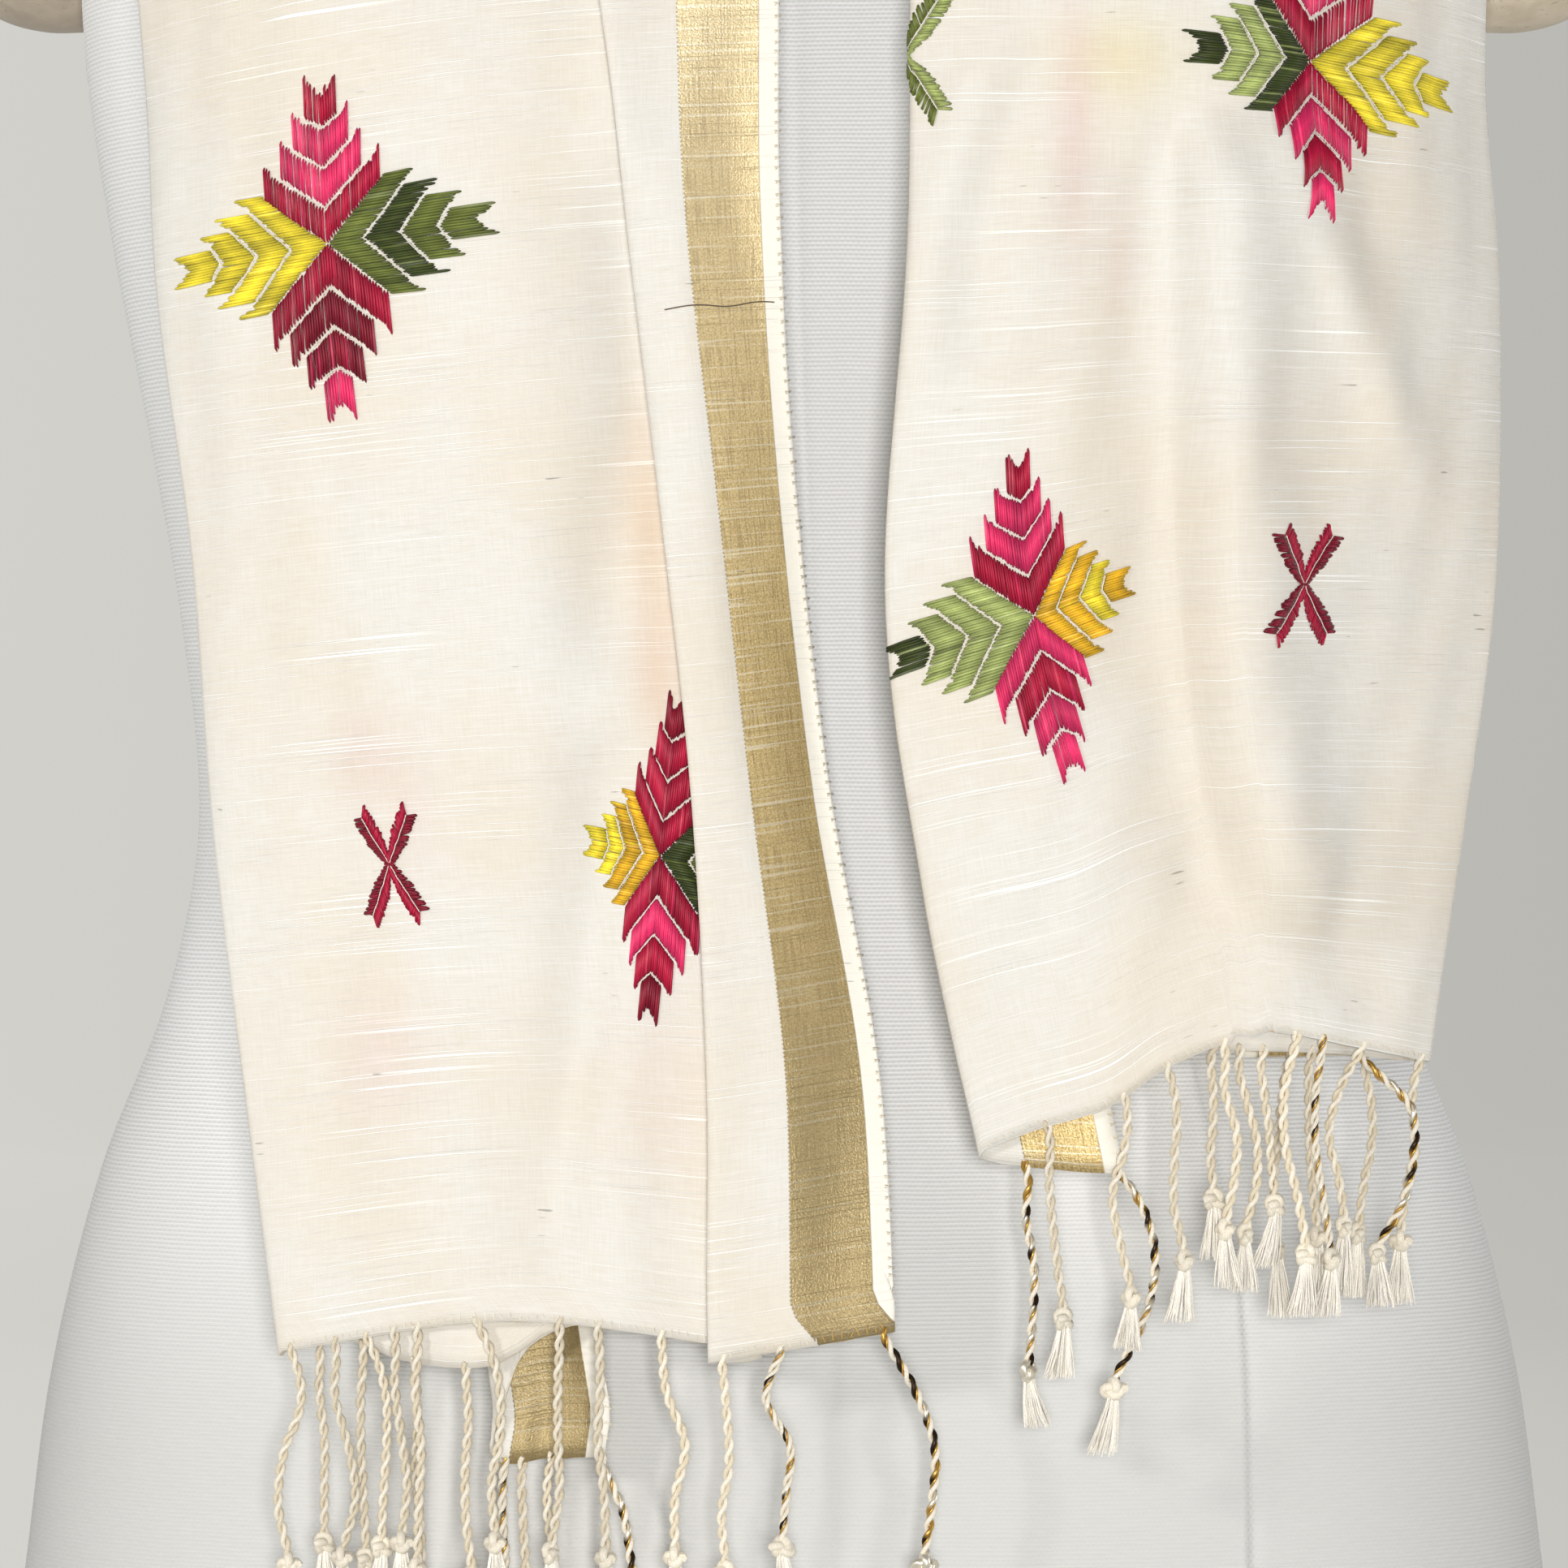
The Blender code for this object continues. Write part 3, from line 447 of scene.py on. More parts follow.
capShape = {
    "sides": 64, "steps": 4, "x": 14.83, "height": formShape["armholeHeight"],
    "halfHeight": formShape["armholeHalf"], "halfDepth": 5.0,
    # out from the armhole, share of the full size there
    "profile": (
        (0.0, 1.0), (0.9, 1.0), (1.8, 0.965), (2.7, 0.88), (3.5, 0.73), (4.1, 0.50), (4.4, 0.24), (4.5, 0.0),
    ),
}
neckCapShape = {
    "sides": 72, "steps": 4, "y": -0.2, "gap": 0.03,
    # up from the neck, radius there
    "profile": (
        (0.0, 5.3), (1.0, 5.5), (1.7, 5.2), (2.3, 4.0), (2.6, 2.0), (2.9, 1.0),
        (3.5, 0.85), (4.1, 1.35), (5.0, 1.65), (5.9, 1.3), (6.4, 0.0),
    ),
}
baseShape = {"sides": 128, "halfWidth": 17.4, "halfDepth": 12.4, "thick": 2.2, "round": 0.45, "roundSteps": 6}


def finer(profile, steps):
    # a rounder profile through the same points, by chord length
    table = [(0.0, *profile[0])]
    for a, b in zip(profile, profile[1:]):
        table.append((table[-1][0] + math.dist(a, b), *b))
    total = table[-1][0]
    count = steps * (len(profile) - 1)
    return [tuple(max(0.0, q) for q in between(table, total * k / count)) for k in range(count)] + [profile[-1]]


def makeShoulderCap(name, side, wood):
    cap = capShape

    def onArmhole(out, share, angle):
        return (
            side * (cap["x"] + out) * cm, cap["halfDepth"] * share * math.cos(angle) * cm,
            waist + (cap["height"] + cap["halfHeight"] * share * math.sin(angle)) * cm,
        )

    profile = finer(cap["profile"], cap["steps"])
    piece = lathe(f"shoulder_cap_{name}", profile, onArmhole, cap["sides"], wood)
    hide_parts(f"form_shoulder_cap_{name}")
    return piece


def makeNeckCap():
    cap = neckCapShape

    def onNeck(up, radius, angle):
        top = formSections[-1][0] + cap["gap"]
        return (
            radius * math.cos(angle) * cm, (cap["y"] + radius * math.sin(angle)) * cm, waist + (top + up) * cm,
        )

    piece = lathe("neck_cap", finer(cap["profile"], cap["steps"]), onNeck, cap["sides"], paleWood)
    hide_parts("form_neck_cap")
    return piece


def makeBase():
    board = baseShape
    sides = board["sides"]
    # height and inset round the lower edge, then the same upside down
    lower = [(0.0, -board["round"])]
    for k in range(board["roundSteps"] + 1):
        turn = math.pi / 2 * k / board["roundSteps"]
        lower.append((board["round"] * (1 - math.cos(turn)), board["round"] * (math.sin(turn) - 1)))
    upper = [(board["thick"] - z, inset) for z, inset in reversed(lower)]
    rings = [
        [(
            (board["halfWidth"] + inset) * math.cos(2 * math.pi * k / sides) * cm,
            (board["halfDepth"] + inset) * math.sin(2 * math.pi * k / sides) * cm, z * cm,
        ) for k in range(sides)]
        for z, inset in (*lower, *upper)
    ]
    faces = gridFaces(len(rings), sides, wrap=True)
    faces.append(tuple(range(sides)))
    last = (len(rings) - 1) * sides
    faces.append(tuple(range(last, last + sides)))
    base = meshPiece("base_board", [p for ring in rings for p in ring], faces, paleWood)
    turnOut(base)
    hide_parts("form_base")
    return base


torso = makeForm()
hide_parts("form_torso")
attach(torso, "root")
woodPieces = [
    # the left cap takes the darker beech, its painted shade
    makeShoulderCap("left", -1, paintedShadeWood), makeShoulderCap("right", 1, paleWood), makeNeckCap(), makeBase(),
]
for piece in woodPieces:
    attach(piece, "root")
print("dress form", len(torso.data.polygons), "faces")


# how the stole lies
# in cm, but leastGap is in metres
stoleShape = {
    "width": clothLook["width"], "thick": 0.06, "layer": 0.28, "lieOff": 1.15, "lieSoftness": 0.35,
    "leastGap": 0.0012, "samples": 60, "frontRows": 0.30, "backRows": 0.55,
    "ridgeReach": 1.3, "backFolds": 3, "hemFade": 22.0,
    "runCells": (14, 11, 14, 40, 7, 36, 9), "foldCells": (4, 4, 5, 5, 5, 4),
    "pleatOpens": 0.8, "pleatTurns": 0.3, "turnSettles": 0.8, "leastTurn": 0.06, "fallReach": 2.2,
}
# outer x, y, z, inner x, y, z, crown; outer is the arm side, from the left end over the back
stations = (
    (-10.2, -10.9, -10.2, 2.10, -12.1, -9.6, 1.1), (-10.9, -10.7, -5.0, 1.9, -12.3, -4.3, 1.2),
    (-11.6, -10.4, 0.5, 1.05, -12.6, 1.3, 1.3), (-12.05, -9.9, 6.0, 0.4, -12.9, 7.0, 1.6),
    (-12.8, -9.3, 12.0, -0.1, -13.0, 13.2, 2.0), (-12.75, -8.8, 18.0, -0.30, -12.8, 19.3, 2.2),
    (-13.4, -8.6, 24.5, -1.1, -11.8, 26.5, 2.0), (-13.9, -8.4, 30.5, -2.9, -10.5, 33.0, 1.5),
    (-14.4, -7.4, 35.6, -5.2, -9.2, 38.2, 1.0), (-14.7, -4.4, 38.9, -6.9, -6.0, 42.0, 0.7),
    (-14.8, 0.6, 40.0, -7.7, 0.3, 43.6, 0.5), (-14.9, 5.6, 38.6, -8.0, 5.9, 41.6, 0.7),
    (-14.9, 9.3, 34.0, -7.9, 9.2, 37.6, 0.9), (-13.2, 11.0, 26.5, -6.9, 11.0, 32.4, 0.9),
    (-8.4, 11.6, 18.4, -4.6, 11.6, 27.0, 0.9), (0.0, 11.9, 14.3, 0.0, 11.7, 24.2, 0.9),
    (8.4, 11.6, 18.4, 4.6, 11.6, 27.0, 0.9), (13.2, 11.0, 26.5, 6.9, 11.0, 32.4, 0.9),
    (14.9, 9.3, 34.0, 7.9, 9.2, 37.6, 0.9), (15.0, 5.6, 38.6, 8.0, 5.9, 41.6, 0.7),
    (15.1, 0.6, 40.0, 7.7, 0.3, 43.6, 0.5), (15.2, -4.2, 38.9, 6.9, -6.0, 42.0, 0.7),
    (15.0, -6.6, 35.6, 5.7, -9.2, 38.2, 1.2), (14.4, -7.0, 30.5, 4.2, -10.5, 32.6, 1.9),
    (13.9, -7.0, 24.5, 3.0, -11.8, 26.0, 2.5), (13.85, -7.1, 18.0, 2.57, -12.8, 18.6, 2.7),
    (14.65, -7.4, 12.0, 2.47, -13.0, 12.0, 2.5), (14.6, -8.2, 6.0, 2.02, -12.9, 5.0, 2.1),
    (13.95, -9.0, 0.8, 2.80, -12.6, -1.0, 1.7), (13.15, -9.6, -4.3, 3.90, -12.2, -6.2, 1.4),
)
shoulderLeft, middleBack, shoulderRight = 10, 15, 20
# station, tucked 1, 2, 3, pleat at, hidden, turned, lap, fall of the edge
# turned is less than 0 where the selvedge lies open
folds = (
    (0, 7.3, 2.8, 2.4, 9.0, 1.05, 0.45, 0.0, 0.0), (0.28, 7.3, 2.8, 2.4, 9.2, 1.05, -0.3, 0.0, 0.15),
    (1, 7.2, 2.8, 2.4, 9.75, 1.05, -0.5, 0.0, 0.6),
    (2, 7.0, 2.7, 2.3, 10.3, 1.05, -0.5, 0.0, 1.1), (3, 6.8, 2.7, 2.3, 10.5, 1.05, -0.5, 0.0, 1.1),
    (4, 6.4, 2.6, 2.2, 11.0, 1.05, -0.5, 0.0, 0.5), (5, 6.2, 2.8, 2.4, 10.7, 1.05, -0.5, 0.0, 0.1),
    (7, 5.6, 3.6, 3.8, 8.8, 1.05, -0.5, 0.0, 0.0), (10, 5.2, 4.6, 5.2, 5.0, 1.0, 0.4, 0.0, 0.0),
    (13, 5.4, 4.6, 4.6, 5.2, -0.2, 0.8, 0.0, 0.0), (15, 6.4, 5.3, 4.2, 5.0, -0.8, 1.6, 0.5, 0.0),
    (17, 6.2, 5.3, 5.3, 4.8, -0.8, 2.2, 1.0, 0.0), (18, 5.6, 5.1, 6.8, 4.6, -0.8, 2.2, 1.0, 0.0),
    (19, 5.3, 5.1, 7.4, 4.4, -0.8, 2.1, 1.0, 0.0), (20, 5.6, 5.2, 6.8, 4.4, -0.8, 2.1, 1.0, 0.0),
    (22, 6.2, 5.0, 3.7, 6.0, -0.8, 2.6, 1.0, 0.0), (23, 6.2, 4.6, 2.3, 7.0, -0.8, 2.9, 1.0, 0.0),
    (25, 5.7, 3.7, 1.3, 9.0, -0.8, 3.0, 1.0, 0.0), (26, 5.6, 3.6, 1.3, 8.8, -0.8, 3.0, 1.0, 0.0),
    (27, 5.7, 3.7, 1.4, 7.5, -0.8, 3.0, 1.0, 0.0), (28, 5.9, 4.4, 2.4, 5.9, -0.8, 3.0, 1.0, 0.0),
    (29, 6.1, 5.1, 3.7, 4.2, -0.8, 3.0, 1.0, 0.0),
)
# station, ridge at the pleat, hollow beside it, long folds round the back
softFolds = (
    (0, 0.0, 0.15, 0.0), (5, 0.0, 0.25, 0.0), (8, 0.0, 0.15, 0.1), (10, 0.0, 0.0, 0.15), (13, 0.0, 0.0, 0.4),
    (15, 0.0, 0.0, 0.6), (17, 0.0, 0.0, 0.4), (20, 0.0, 0.0, 0.15), (22, 0.1, 0.1, 0.1), (25, 0.12, 0.12, 0.0),
    (27, 0.12, 0.1, 0.0), (29, 0.1, 0.1, 0.0),
)
# run and height of the hem there, cm from the waist
leftHem = (
    (0.0, -12.15), (0.5, -12.2), (1.0, -12.1), (1.3, -10.0), (2.0, -9.4), (2.25, -9.6), (2.38, -10.3),
    (2.6, -10.25), (2.78, -9.8), (3.0, -10.2), (3.5, -9.4), (4.0, -10.1), (4.5, -10.2), (5.0, -10.2),
    (5.5, -9.9), (6.0, -9.6), (7.0, -9.6),
)
rightHem = (
    (0.0, -4.2), (0.5, -4.2), (1.0, -4.2), (1.5, -4.1), (2.0, -4.0), (2.5, -4.1), (3.0, -4.3), (3.5, -4.0),
    (4.0, -3.62), (4.5, -3.75), (5.0, -3.75), (5.3, -4.3), (5.5, -5.1), (5.75, -5.6), (6.0, -6.15),
    (6.5, -6.4), (7.0, -6.5),
)
# soft creases of the whole thickness: rise, reach to the left, to the right, then x, z of the line in cm
creases = (
    (-0.55, 1.10, 0.55, (-3.6, 14.2), (-3.1, 12.0), (-2.9, 9.4), (-3.1, 6.5), (-3.3, 3.0)),
    (-0.48, 1.00, 0.60, (-3.3, 3.0), (-3.6, -0.6), (-4.0, -3.5), (-4.5, -6.0), (-4.8, -9.8)),
    (0.20, 1.60, 1.00, (-6.6, 17.5), (-6.2, 12.0), (-5.8, 6.0), (-6.2, -2.0)),
    (0.14, 0.90, 0.90, (-7.9, 0.0), (-7.6, -5.0), (-7.3, -9.8)),
    (-0.30, 0.70, 0.55, (5.6, 17.0), (4.5, 14.6), (3.8, 12.4), (3.5, 9.6)),
    (0.22, 0.60, 0.80, (4.6, 17.0), (3.5, 14.0), (2.9, 11.6), (2.8, 8.0)),
    (-0.45, 2.20, 0.30, (7.8, 15.5), (7.85, 8.0), (8.0, 3.5), (8.45, 0.4), (9.3, -3.2)),
    (0.95, 0.60, 1.45, (8.7, 15.0), (8.7, 8.0), (8.8, 3.5), (9.3, 0.4), (10.0, -3.2)),
    (0.30, 0.55, 0.80, (9.1, 15.6), (10.2, 13.6), (11.4, 10.4), (12.6, 7.8), (13.4, 6.6)),
    (-0.28, 0.90, 0.60, (11.9, 15.4), (12.1, 12.6), (12.5, 10.6)),
    (-0.18, 1.00, 1.00, (9.2, 13.6), (9.6, 10.0), (10.2, 6.0)),
    (-0.16, 0.60, 0.70, (11.0, -0.6), (11.3, -2.6), (11.5, -4.4)),
)


def creaseHeight(x, z):
    # x and z in cm as seen from the front; how far out the cloth stands there
    total = np.zeros_like(x)
    for rise, leftReach, rightReach, *line in creases:
        line = np.array(line)
        lengths = np.r_[0.0, np.cumsum(np.hypot(*np.diff(line, axis=0).T))]
        best, side, reached = np.full_like(x, 1e9), np.zeros_like(x), np.zeros_like(x)
        for k in range(len(line) - 1):
            a, b = line[k], line[k + 1]
            along = (b - a) / np.hypot(*(b - a))
            px, pz = x - a[0], z - a[1]
            t = np.clip(px * along[0] + pz * along[1], 0.0, lengths[k + 1] - lengths[k])
            away = np.hypot(px - along[0] * t, pz - along[1] * t)
            nearer = away < best
            best = np.where(nearer, away, best)
            side = np.where(nearer, px * along[1] - pz * along[0], side)
            reached = np.where(nearer, lengths[k] + t, reached)
        breadth = np.where(side > 0, leftReach, rightReach)
        fade = ease(reached / 2.5 + 0.15) * ease((lengths[-1] - reached) / 2.5 + 0.15)
        total += rise * fade * bell(best / breadth)
    return total


middles = np.array([(np.array(r[0:3]) + np.array(r[3:6])) / 2 for r in stations])
reach = np.r_[0.0, np.cumsum(np.linalg.norm(np.diff(middles, axis=0), axis=1))]
stoleLength = float(reach[-1])
edgeTable = [(v, *row) for v, row in zip(reach, stations)]
foldTable = [(float(np.interp(row[0], range(len(reach)), reach)), *row[1:]) for row in folds]
waveTable = [(reach[row[0]], *row[1:]) for row in softFolds]
formTree = BVHTree.FromObject(torso, bpy.context.evaluated_depsgraph_get())


def resting(point):
    # the point pushed out softly, to at least lieOff from the form
    near, normal, _, _ = formTree.find_nearest(Vector(point))
    away = Vector(point) - near
    distance = away.length / cm
    if away.dot(normal) < 0:
        distance, away = -distance, -away
    over = distance - stoleShape["lieOff"]
    wanted = stoleShape["lieOff"] + (over + math.sqrt(over * over + 4 * stoleShape["lieSoftness"] ** 2)) / 2
    return near + away.normalized() * wanted * cm


def rowPoints(v, shares):
    # a bowed line from the outer to the inner edge, resting on the form
    values = between(edgeTable, v)
    before = between(edgeTable, max(v - 0.5, 0.0))
    after = between(edgeTable, min(v + 0.5, stoleLength))
    outer, inner = values[0:3], values[3:6]
    along = after[0:3] + after[3:6] - before[0:3] - before[3:6]
    out = np.cross(inner - outer, along)
    out /= np.linalg.norm(out)
    s = shares[:, None]
    bowed = outer * (1 - s) + inner * s + out * values[6] * 4 * s * (1 - s)
    placed = bowed * cm + np.array((0.0, 0.0, waist))
    return np.array([resting(p) for p in placed])


def unit(vectors):
    return vectors / np.maximum(np.linalg.norm(vectors, axis=-1, keepdims=True), 1e-12)


def drapeRow(v):
    # a row across what shows, the distance along it in cm, and its normals
    shares = np.linspace(0.0, 1.0, stoleShape["samples"] + 1)
    points = rowPoints(v, shares)
    before, after = rowPoints(max(v - 0.4, 0.0), shares), rowPoints(min(v + 0.4, stoleLength), shares)
    run = np.r_[0.0, np.cumsum(np.linalg.norm(np.diff(points, axis=0), axis=1)) / cm]
    normals = unit(np.cross(np.gradient(points, axis=0), after - before))
    return points, run, normals


def runKey(run, share):
    # a place in the section: the run's number and a fraction; the folds lie between the runs
    return run + 0.1 + 0.8 * share


def section(v, visible):
    # the stole's cross-section, from its hidden selvedge to the open one: seven runs and six folds
    shape = stoleShape
    tuck1, tuck2, tuck3, pleat, hidden, turned, lap, fall = between(foldTable, v)
    layer = shape["layer"]
    lift = layer * float(ease((hidden + shape["pleatOpens"]) / (2 * shape["pleatOpens"])))
    levels = (
        -3 * layer, -2 * layer, -layer, 2 * lift * lap, lift, 2 * lift * (1 - lap),
        2 * lift * (1 - lap) - layer * float(ease(turned / shape["turnSettles"])),
    )
    rounds = (math.pi / 2 - 1) * sum(abs(a - b) for a, b in zip(levels, levels[1:]))
    shown = visible + 2 * max(hidden, 0.0) + max(turned, 0.0) + rounds
    edge = visible + min(turned, 0.0)
    share = (shape["width"] - shown) / (tuck1 + tuck2 + tuck3)
    in2 = tuck1 * share
    in1 = in2 - tuck2 * share
    in0 = in1 + tuck3 * share
    in4 = pleat + hidden * (1 - lap)
    stops = (in0, in1, in2, 0.0, in4, in4 - hidden, edge, edge - turned)
    pleatHead = min(max(-hidden / shape["pleatTurns"], -1.0), 1.0)
    heads = (-1.0, 1.0, -1.0, 1.0, pleatHead, 1.0, -1.0 if turned > 0 else 1.0)
    path = []
    for k in range(7):
        near = max(abs(levels[k] - levels[k - 1]) / 2, shape["leastTurn"]) if k else 0.0
        far = max(abs(levels[k + 1] - levels[k]) / 2, shape["leastTurn"]) if k < 6 else 0.0
        start, end = stops[k] + heads[k] * near, stops[k + 1] - heads[k] * far
        for cell in range(shape["runCells"][k] + 1):
            t = cell / shape["runCells"][k]
            path.append((start + (end - start) * t, levels[k], runKey(k, t)))
        if k == 6:
            break
        places = (stops[k + 1] - heads[k] * far, stops[k + 1] + heads[k] * far / 3,
                  stops[k + 1] - heads[k + 1] * far / 3, stops[k + 1] + heads[k + 1] * far)
        heights = (levels[k], levels[k], levels[k + 1], levels[k + 1])
        for cell in range(1, shape["foldCells"][k]):
            t = cell / shape["foldCells"][k]
            weights = ((1 - t) ** 3, 3 * t * (1 - t) ** 2, 3 * t * t * (1 - t), t ** 3)
            across = sum(a * b for a, b in zip(weights, places))
            level = sum(a * b for a, b in zip(weights, heights))
            path.append((across, level, k + 0.9 + 0.2 * t))
    path = np.array(path)
    path[:, 1] -= fall * ease((path[:, 0] - visible) / shape["fallReach"] + 1)
    return path, pleat


def onRow(points, run, normals, place):
    # points and normals at places along a row, going straight on past its ends
    inside = np.clip(place, 0.0, run[-1])
    point = np.stack([np.interp(inside, run, points[:, c]) for c in range(3)], axis=1)
    normal = unit(np.stack([np.interp(inside, run, normals[:, c]) for c in range(3)], axis=1))
    startWay, endWay = unit(points[1] - points[0]), unit(points[-1] - points[-2])
    point += np.where(place < 0, place, 0.0)[:, None] * cm * startWay
    point += np.where(place > run[-1], place - run[-1], 0.0)[:, None] * cm * endWay
    return point, normal


def unevenness(place, v):
    # slight, and the same for every layer
    slow = 0.035 * np.sin(place * 1.9 + v * 0.23) * np.sin(v * 0.31 + 1.3)
    return slow + 0.02 * np.sin(place * 3.7 - v * 0.55)


def hemShift(v, place, visible, runs):
    # how far a point near an end is moved, up or down, so that the hem has its heights; metres
    fromEnd = min(v, stoleLength - v)
    fade = max(0.0, 1 - fromEnd / stoleShape["hemFade"]) ** 2
    if not fade:
        return 0.0
    isLeft = v < stoleLength / 2
    table = leftHem if isLeft else rightHem
    ends = between(edgeTable, 0.0 if isLeft else stoleLength)
    share = np.clip(place / visible, 0.0, 1.0)
    wanted = np.array([between(table, r)[0] for r in runs])
    return fade * (wanted - (ends[2] + (ends[5] - ends[2]) * share)) * cm


def stoleRow(v):
    points, run, normals = drapeRow(v)
    visible = run[-1]
    path, pleat = section(v, visible)
    place, level, runs = path.T
    ridge, hollow, backFolds = between(waveTable, v)
    off = (place - pleat) / stoleShape["ridgeReach"]
    soft = ridge * bell(off + 0.5) - hollow * bell(off - 1.2)
    turns = 2 * math.pi * stoleShape["backFolds"] * place / visible
    soft -= backFolds * np.cos(turns) * np.sin(math.pi * place / visible)
    spot, normal = onRow(points, run, normals, place)
    inFront = ease((-spot[:, 1] / cm - 3.0) / 4.0)
    soft += inFront * creaseHeight(spot[:, 0] / cm, (spot[:, 2] - waist) / cm)
    soft += unevenness(place, v)
    spot = spot + normal * ((level + soft) * cm)[:, None]
    spot[:, 2] += hemShift(v, place, visible, runs)
    # nothing lies closer to the form than the least gap
    for k, point in enumerate(spot):
        near, away, _, distance = formTree.find_nearest(Vector(point))
        if (Vector(point) - near).dot(away) < 0 or distance < stoleShape["leastGap"]:
            spot[k] = near + away * stoleShape["leastGap"]
    flatStep = np.r_[0.0, np.cumsum(np.hypot(np.diff(place), np.diff(level)))]
    return spot, flatStep * stoleShape["width"] / flatStep[-1], place, runs


def spaced(first, last, spacing):
    count = max(2, round((last - first) / spacing))
    return np.linspace(first, last, count + 1)


stretches = (
    ("left_front", 0.0, reach[shoulderLeft], "frontRows"),
    ("left_back", reach[shoulderLeft], reach[middleBack], "backRows"),
    ("right_back", reach[middleBack], reach[shoulderRight], "backRows"),
    ("right_front", reach[shoulderRight], stoleLength, "frontRows"),
)
cloth = {}
for name, first, last, rows in stretches:
    along = spaced(first, last, stoleShape[rows])
    made = [stoleRow(v) for v in along]
    cloth[name] = {
        "v": along, "points": np.array([m[0] for m in made]), "u": np.array([m[1] for m in made]),
        "place": np.array([m[2] for m in made]), "runs": made[0][3],
    }
print("stole", round(stoleLength, 1), "cm long,", sum(c["u"].size for c in cloth.values()), "points")
everyRow = {
    key: np.concatenate([cloth[n][key] for n, *_ in stretches]) for key in ("v", "points", "u", "place")
}
flatNormals = unit(np.cross(np.gradient(everyRow["points"], axis=1), np.gradient(everyRow["points"], axis=0)))


# the cloth pieces
# motif rows and columns in the flat cloth, cm: v of the row, then u of the three columns
motifRows = [9.75, *(22.45 + 11.09 * k for k in range(13)), 166.5]
motifColumns = (
    (9.7, 8.4, 16.70, 22.13), (22.5, 8.4, 16.72, 24.1), (60.0, 6.8, 15.0, 22.8), (110.0, 6.15, 14.25, 22.35),
    (150.0, 7.8, 16.4, 25.0), (155.6, 8.0, 17.04, 25.45), (166.6, 7.6, 16.95, 22.34),
)
# motifs pulled out of true in the flat cloth, where v goes up and u to the right:
# scale left, right, below, above, lean of the warp, rise of the weft
motifLays = {
    (0, 1): (0.66, 0.66, 0.95, 0.92, 0.0, 0.0), (0, 2): (0.48, 0.74, 0.95, 0.98, 0.22, -0.20),
    (1, 1): (1.27, 1.08, 1.0, 1.0, 0.0, 0.03), (1, 2): (0.8, 0.8, 1.0, 1.0, 0.0, 0.0),
    (13, 1): (1.45, 0.82, 1.0, 0.96, 0.02, -0.06), (14, 1): (1.0, 1.0, 1.0, 1.0, 0.18, 0.0),
    (14, 2): (0.66, 0.90, 0.92, 1.01, -0.12, 0.16),
}
# where a covered layer's colours show through: u, v, reach in u, reach in v, strength, colour
ghosts = (
    (21.0, 155.6, 1.2, 0.9, 0.34, "#F6E48A"), (22.0, 156.8, 0.42, 2.4, 0.24, "#F2B6C2"),
    (21.0, 159.6, 0.4, 1.3, 0.14, "#F4C6C8"), (16.4, 12.0, 0.7, 0.9, 0.16, "#EFB0B8"),
    (17.3, 10.8, 0.6, 1.5, 0.12, "#F1BCBE"), (16.0, 5.8, 1.0, 1.3, 0.15, "#F1B7BC"),
    (22.7, 16.0, 0.5, 3.0, 0.40, "#EFC9A4"), (22.4, 13.2, 0.45, 1.2, 0.30, "#EFC0A0"),
    (21.6, 5.2, 1.0, 2.0, 0.14, "#F2C2B0"),
)


def ghostColours(u, v):
    # the colour that shows through at each point, with its strength as alpha
    colour = np.ones((*u.shape, 4))
    colour[..., 3] = 0.0
    for gu, gv, ru, rv, strength, tint in ghosts:
        share = strength * bell((u - gu) / ru) * bell((v - gv) / rv)
        total = colour[..., 3] + share
        mix = np.where(total > 1e-6, share / np.maximum(total, 1e-6), 0.0)[..., None]
        colour[..., :3] = colour[..., :3] * (1 - mix) + np.array(linear(tint)) * mix
        colour[..., 3] = np.minimum(total, 0.9)
    return colour


def makeCloth(name):
    part = cloth[name]
    rows, columns = part["u"].shape
    piece = meshPiece(f"cloth_{name}", part["points"].reshape(-1, 3), gridFaces(rows, columns), ivoryCloth)
    v = np.repeat(part["v"][:, None], columns, axis=1)
    flat = piece.data.attributes.new("flat", "FLOAT_VECTOR", "POINT")
    inFlat = np.stack([part["u"], v, np.zeros_like(v)], axis=-1)
    flat.data.foreach_set("vector", inFlat.ravel().astype(np.float32))
    ghost = piece.data.attributes.new("ghost", "FLOAT_COLOR", "POINT")
    ghost.data.foreach_set("color", ghostColours(part["u"], v).ravel().astype(np.float32))
    wall = piece.modifiers.new("cloth wall", "SOLIDIFY")
    wall.thickness = stoleShape["thick"] * cm
    wall.offset = 0.0
    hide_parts(f"stole_{name}")
    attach(piece, "root")
    return piece


clothPieces = {name: makeCloth(name) for name, *_ in stretches}
print("cloth pieces", [len(p.data.polygons) for p in clothPieces.values()])


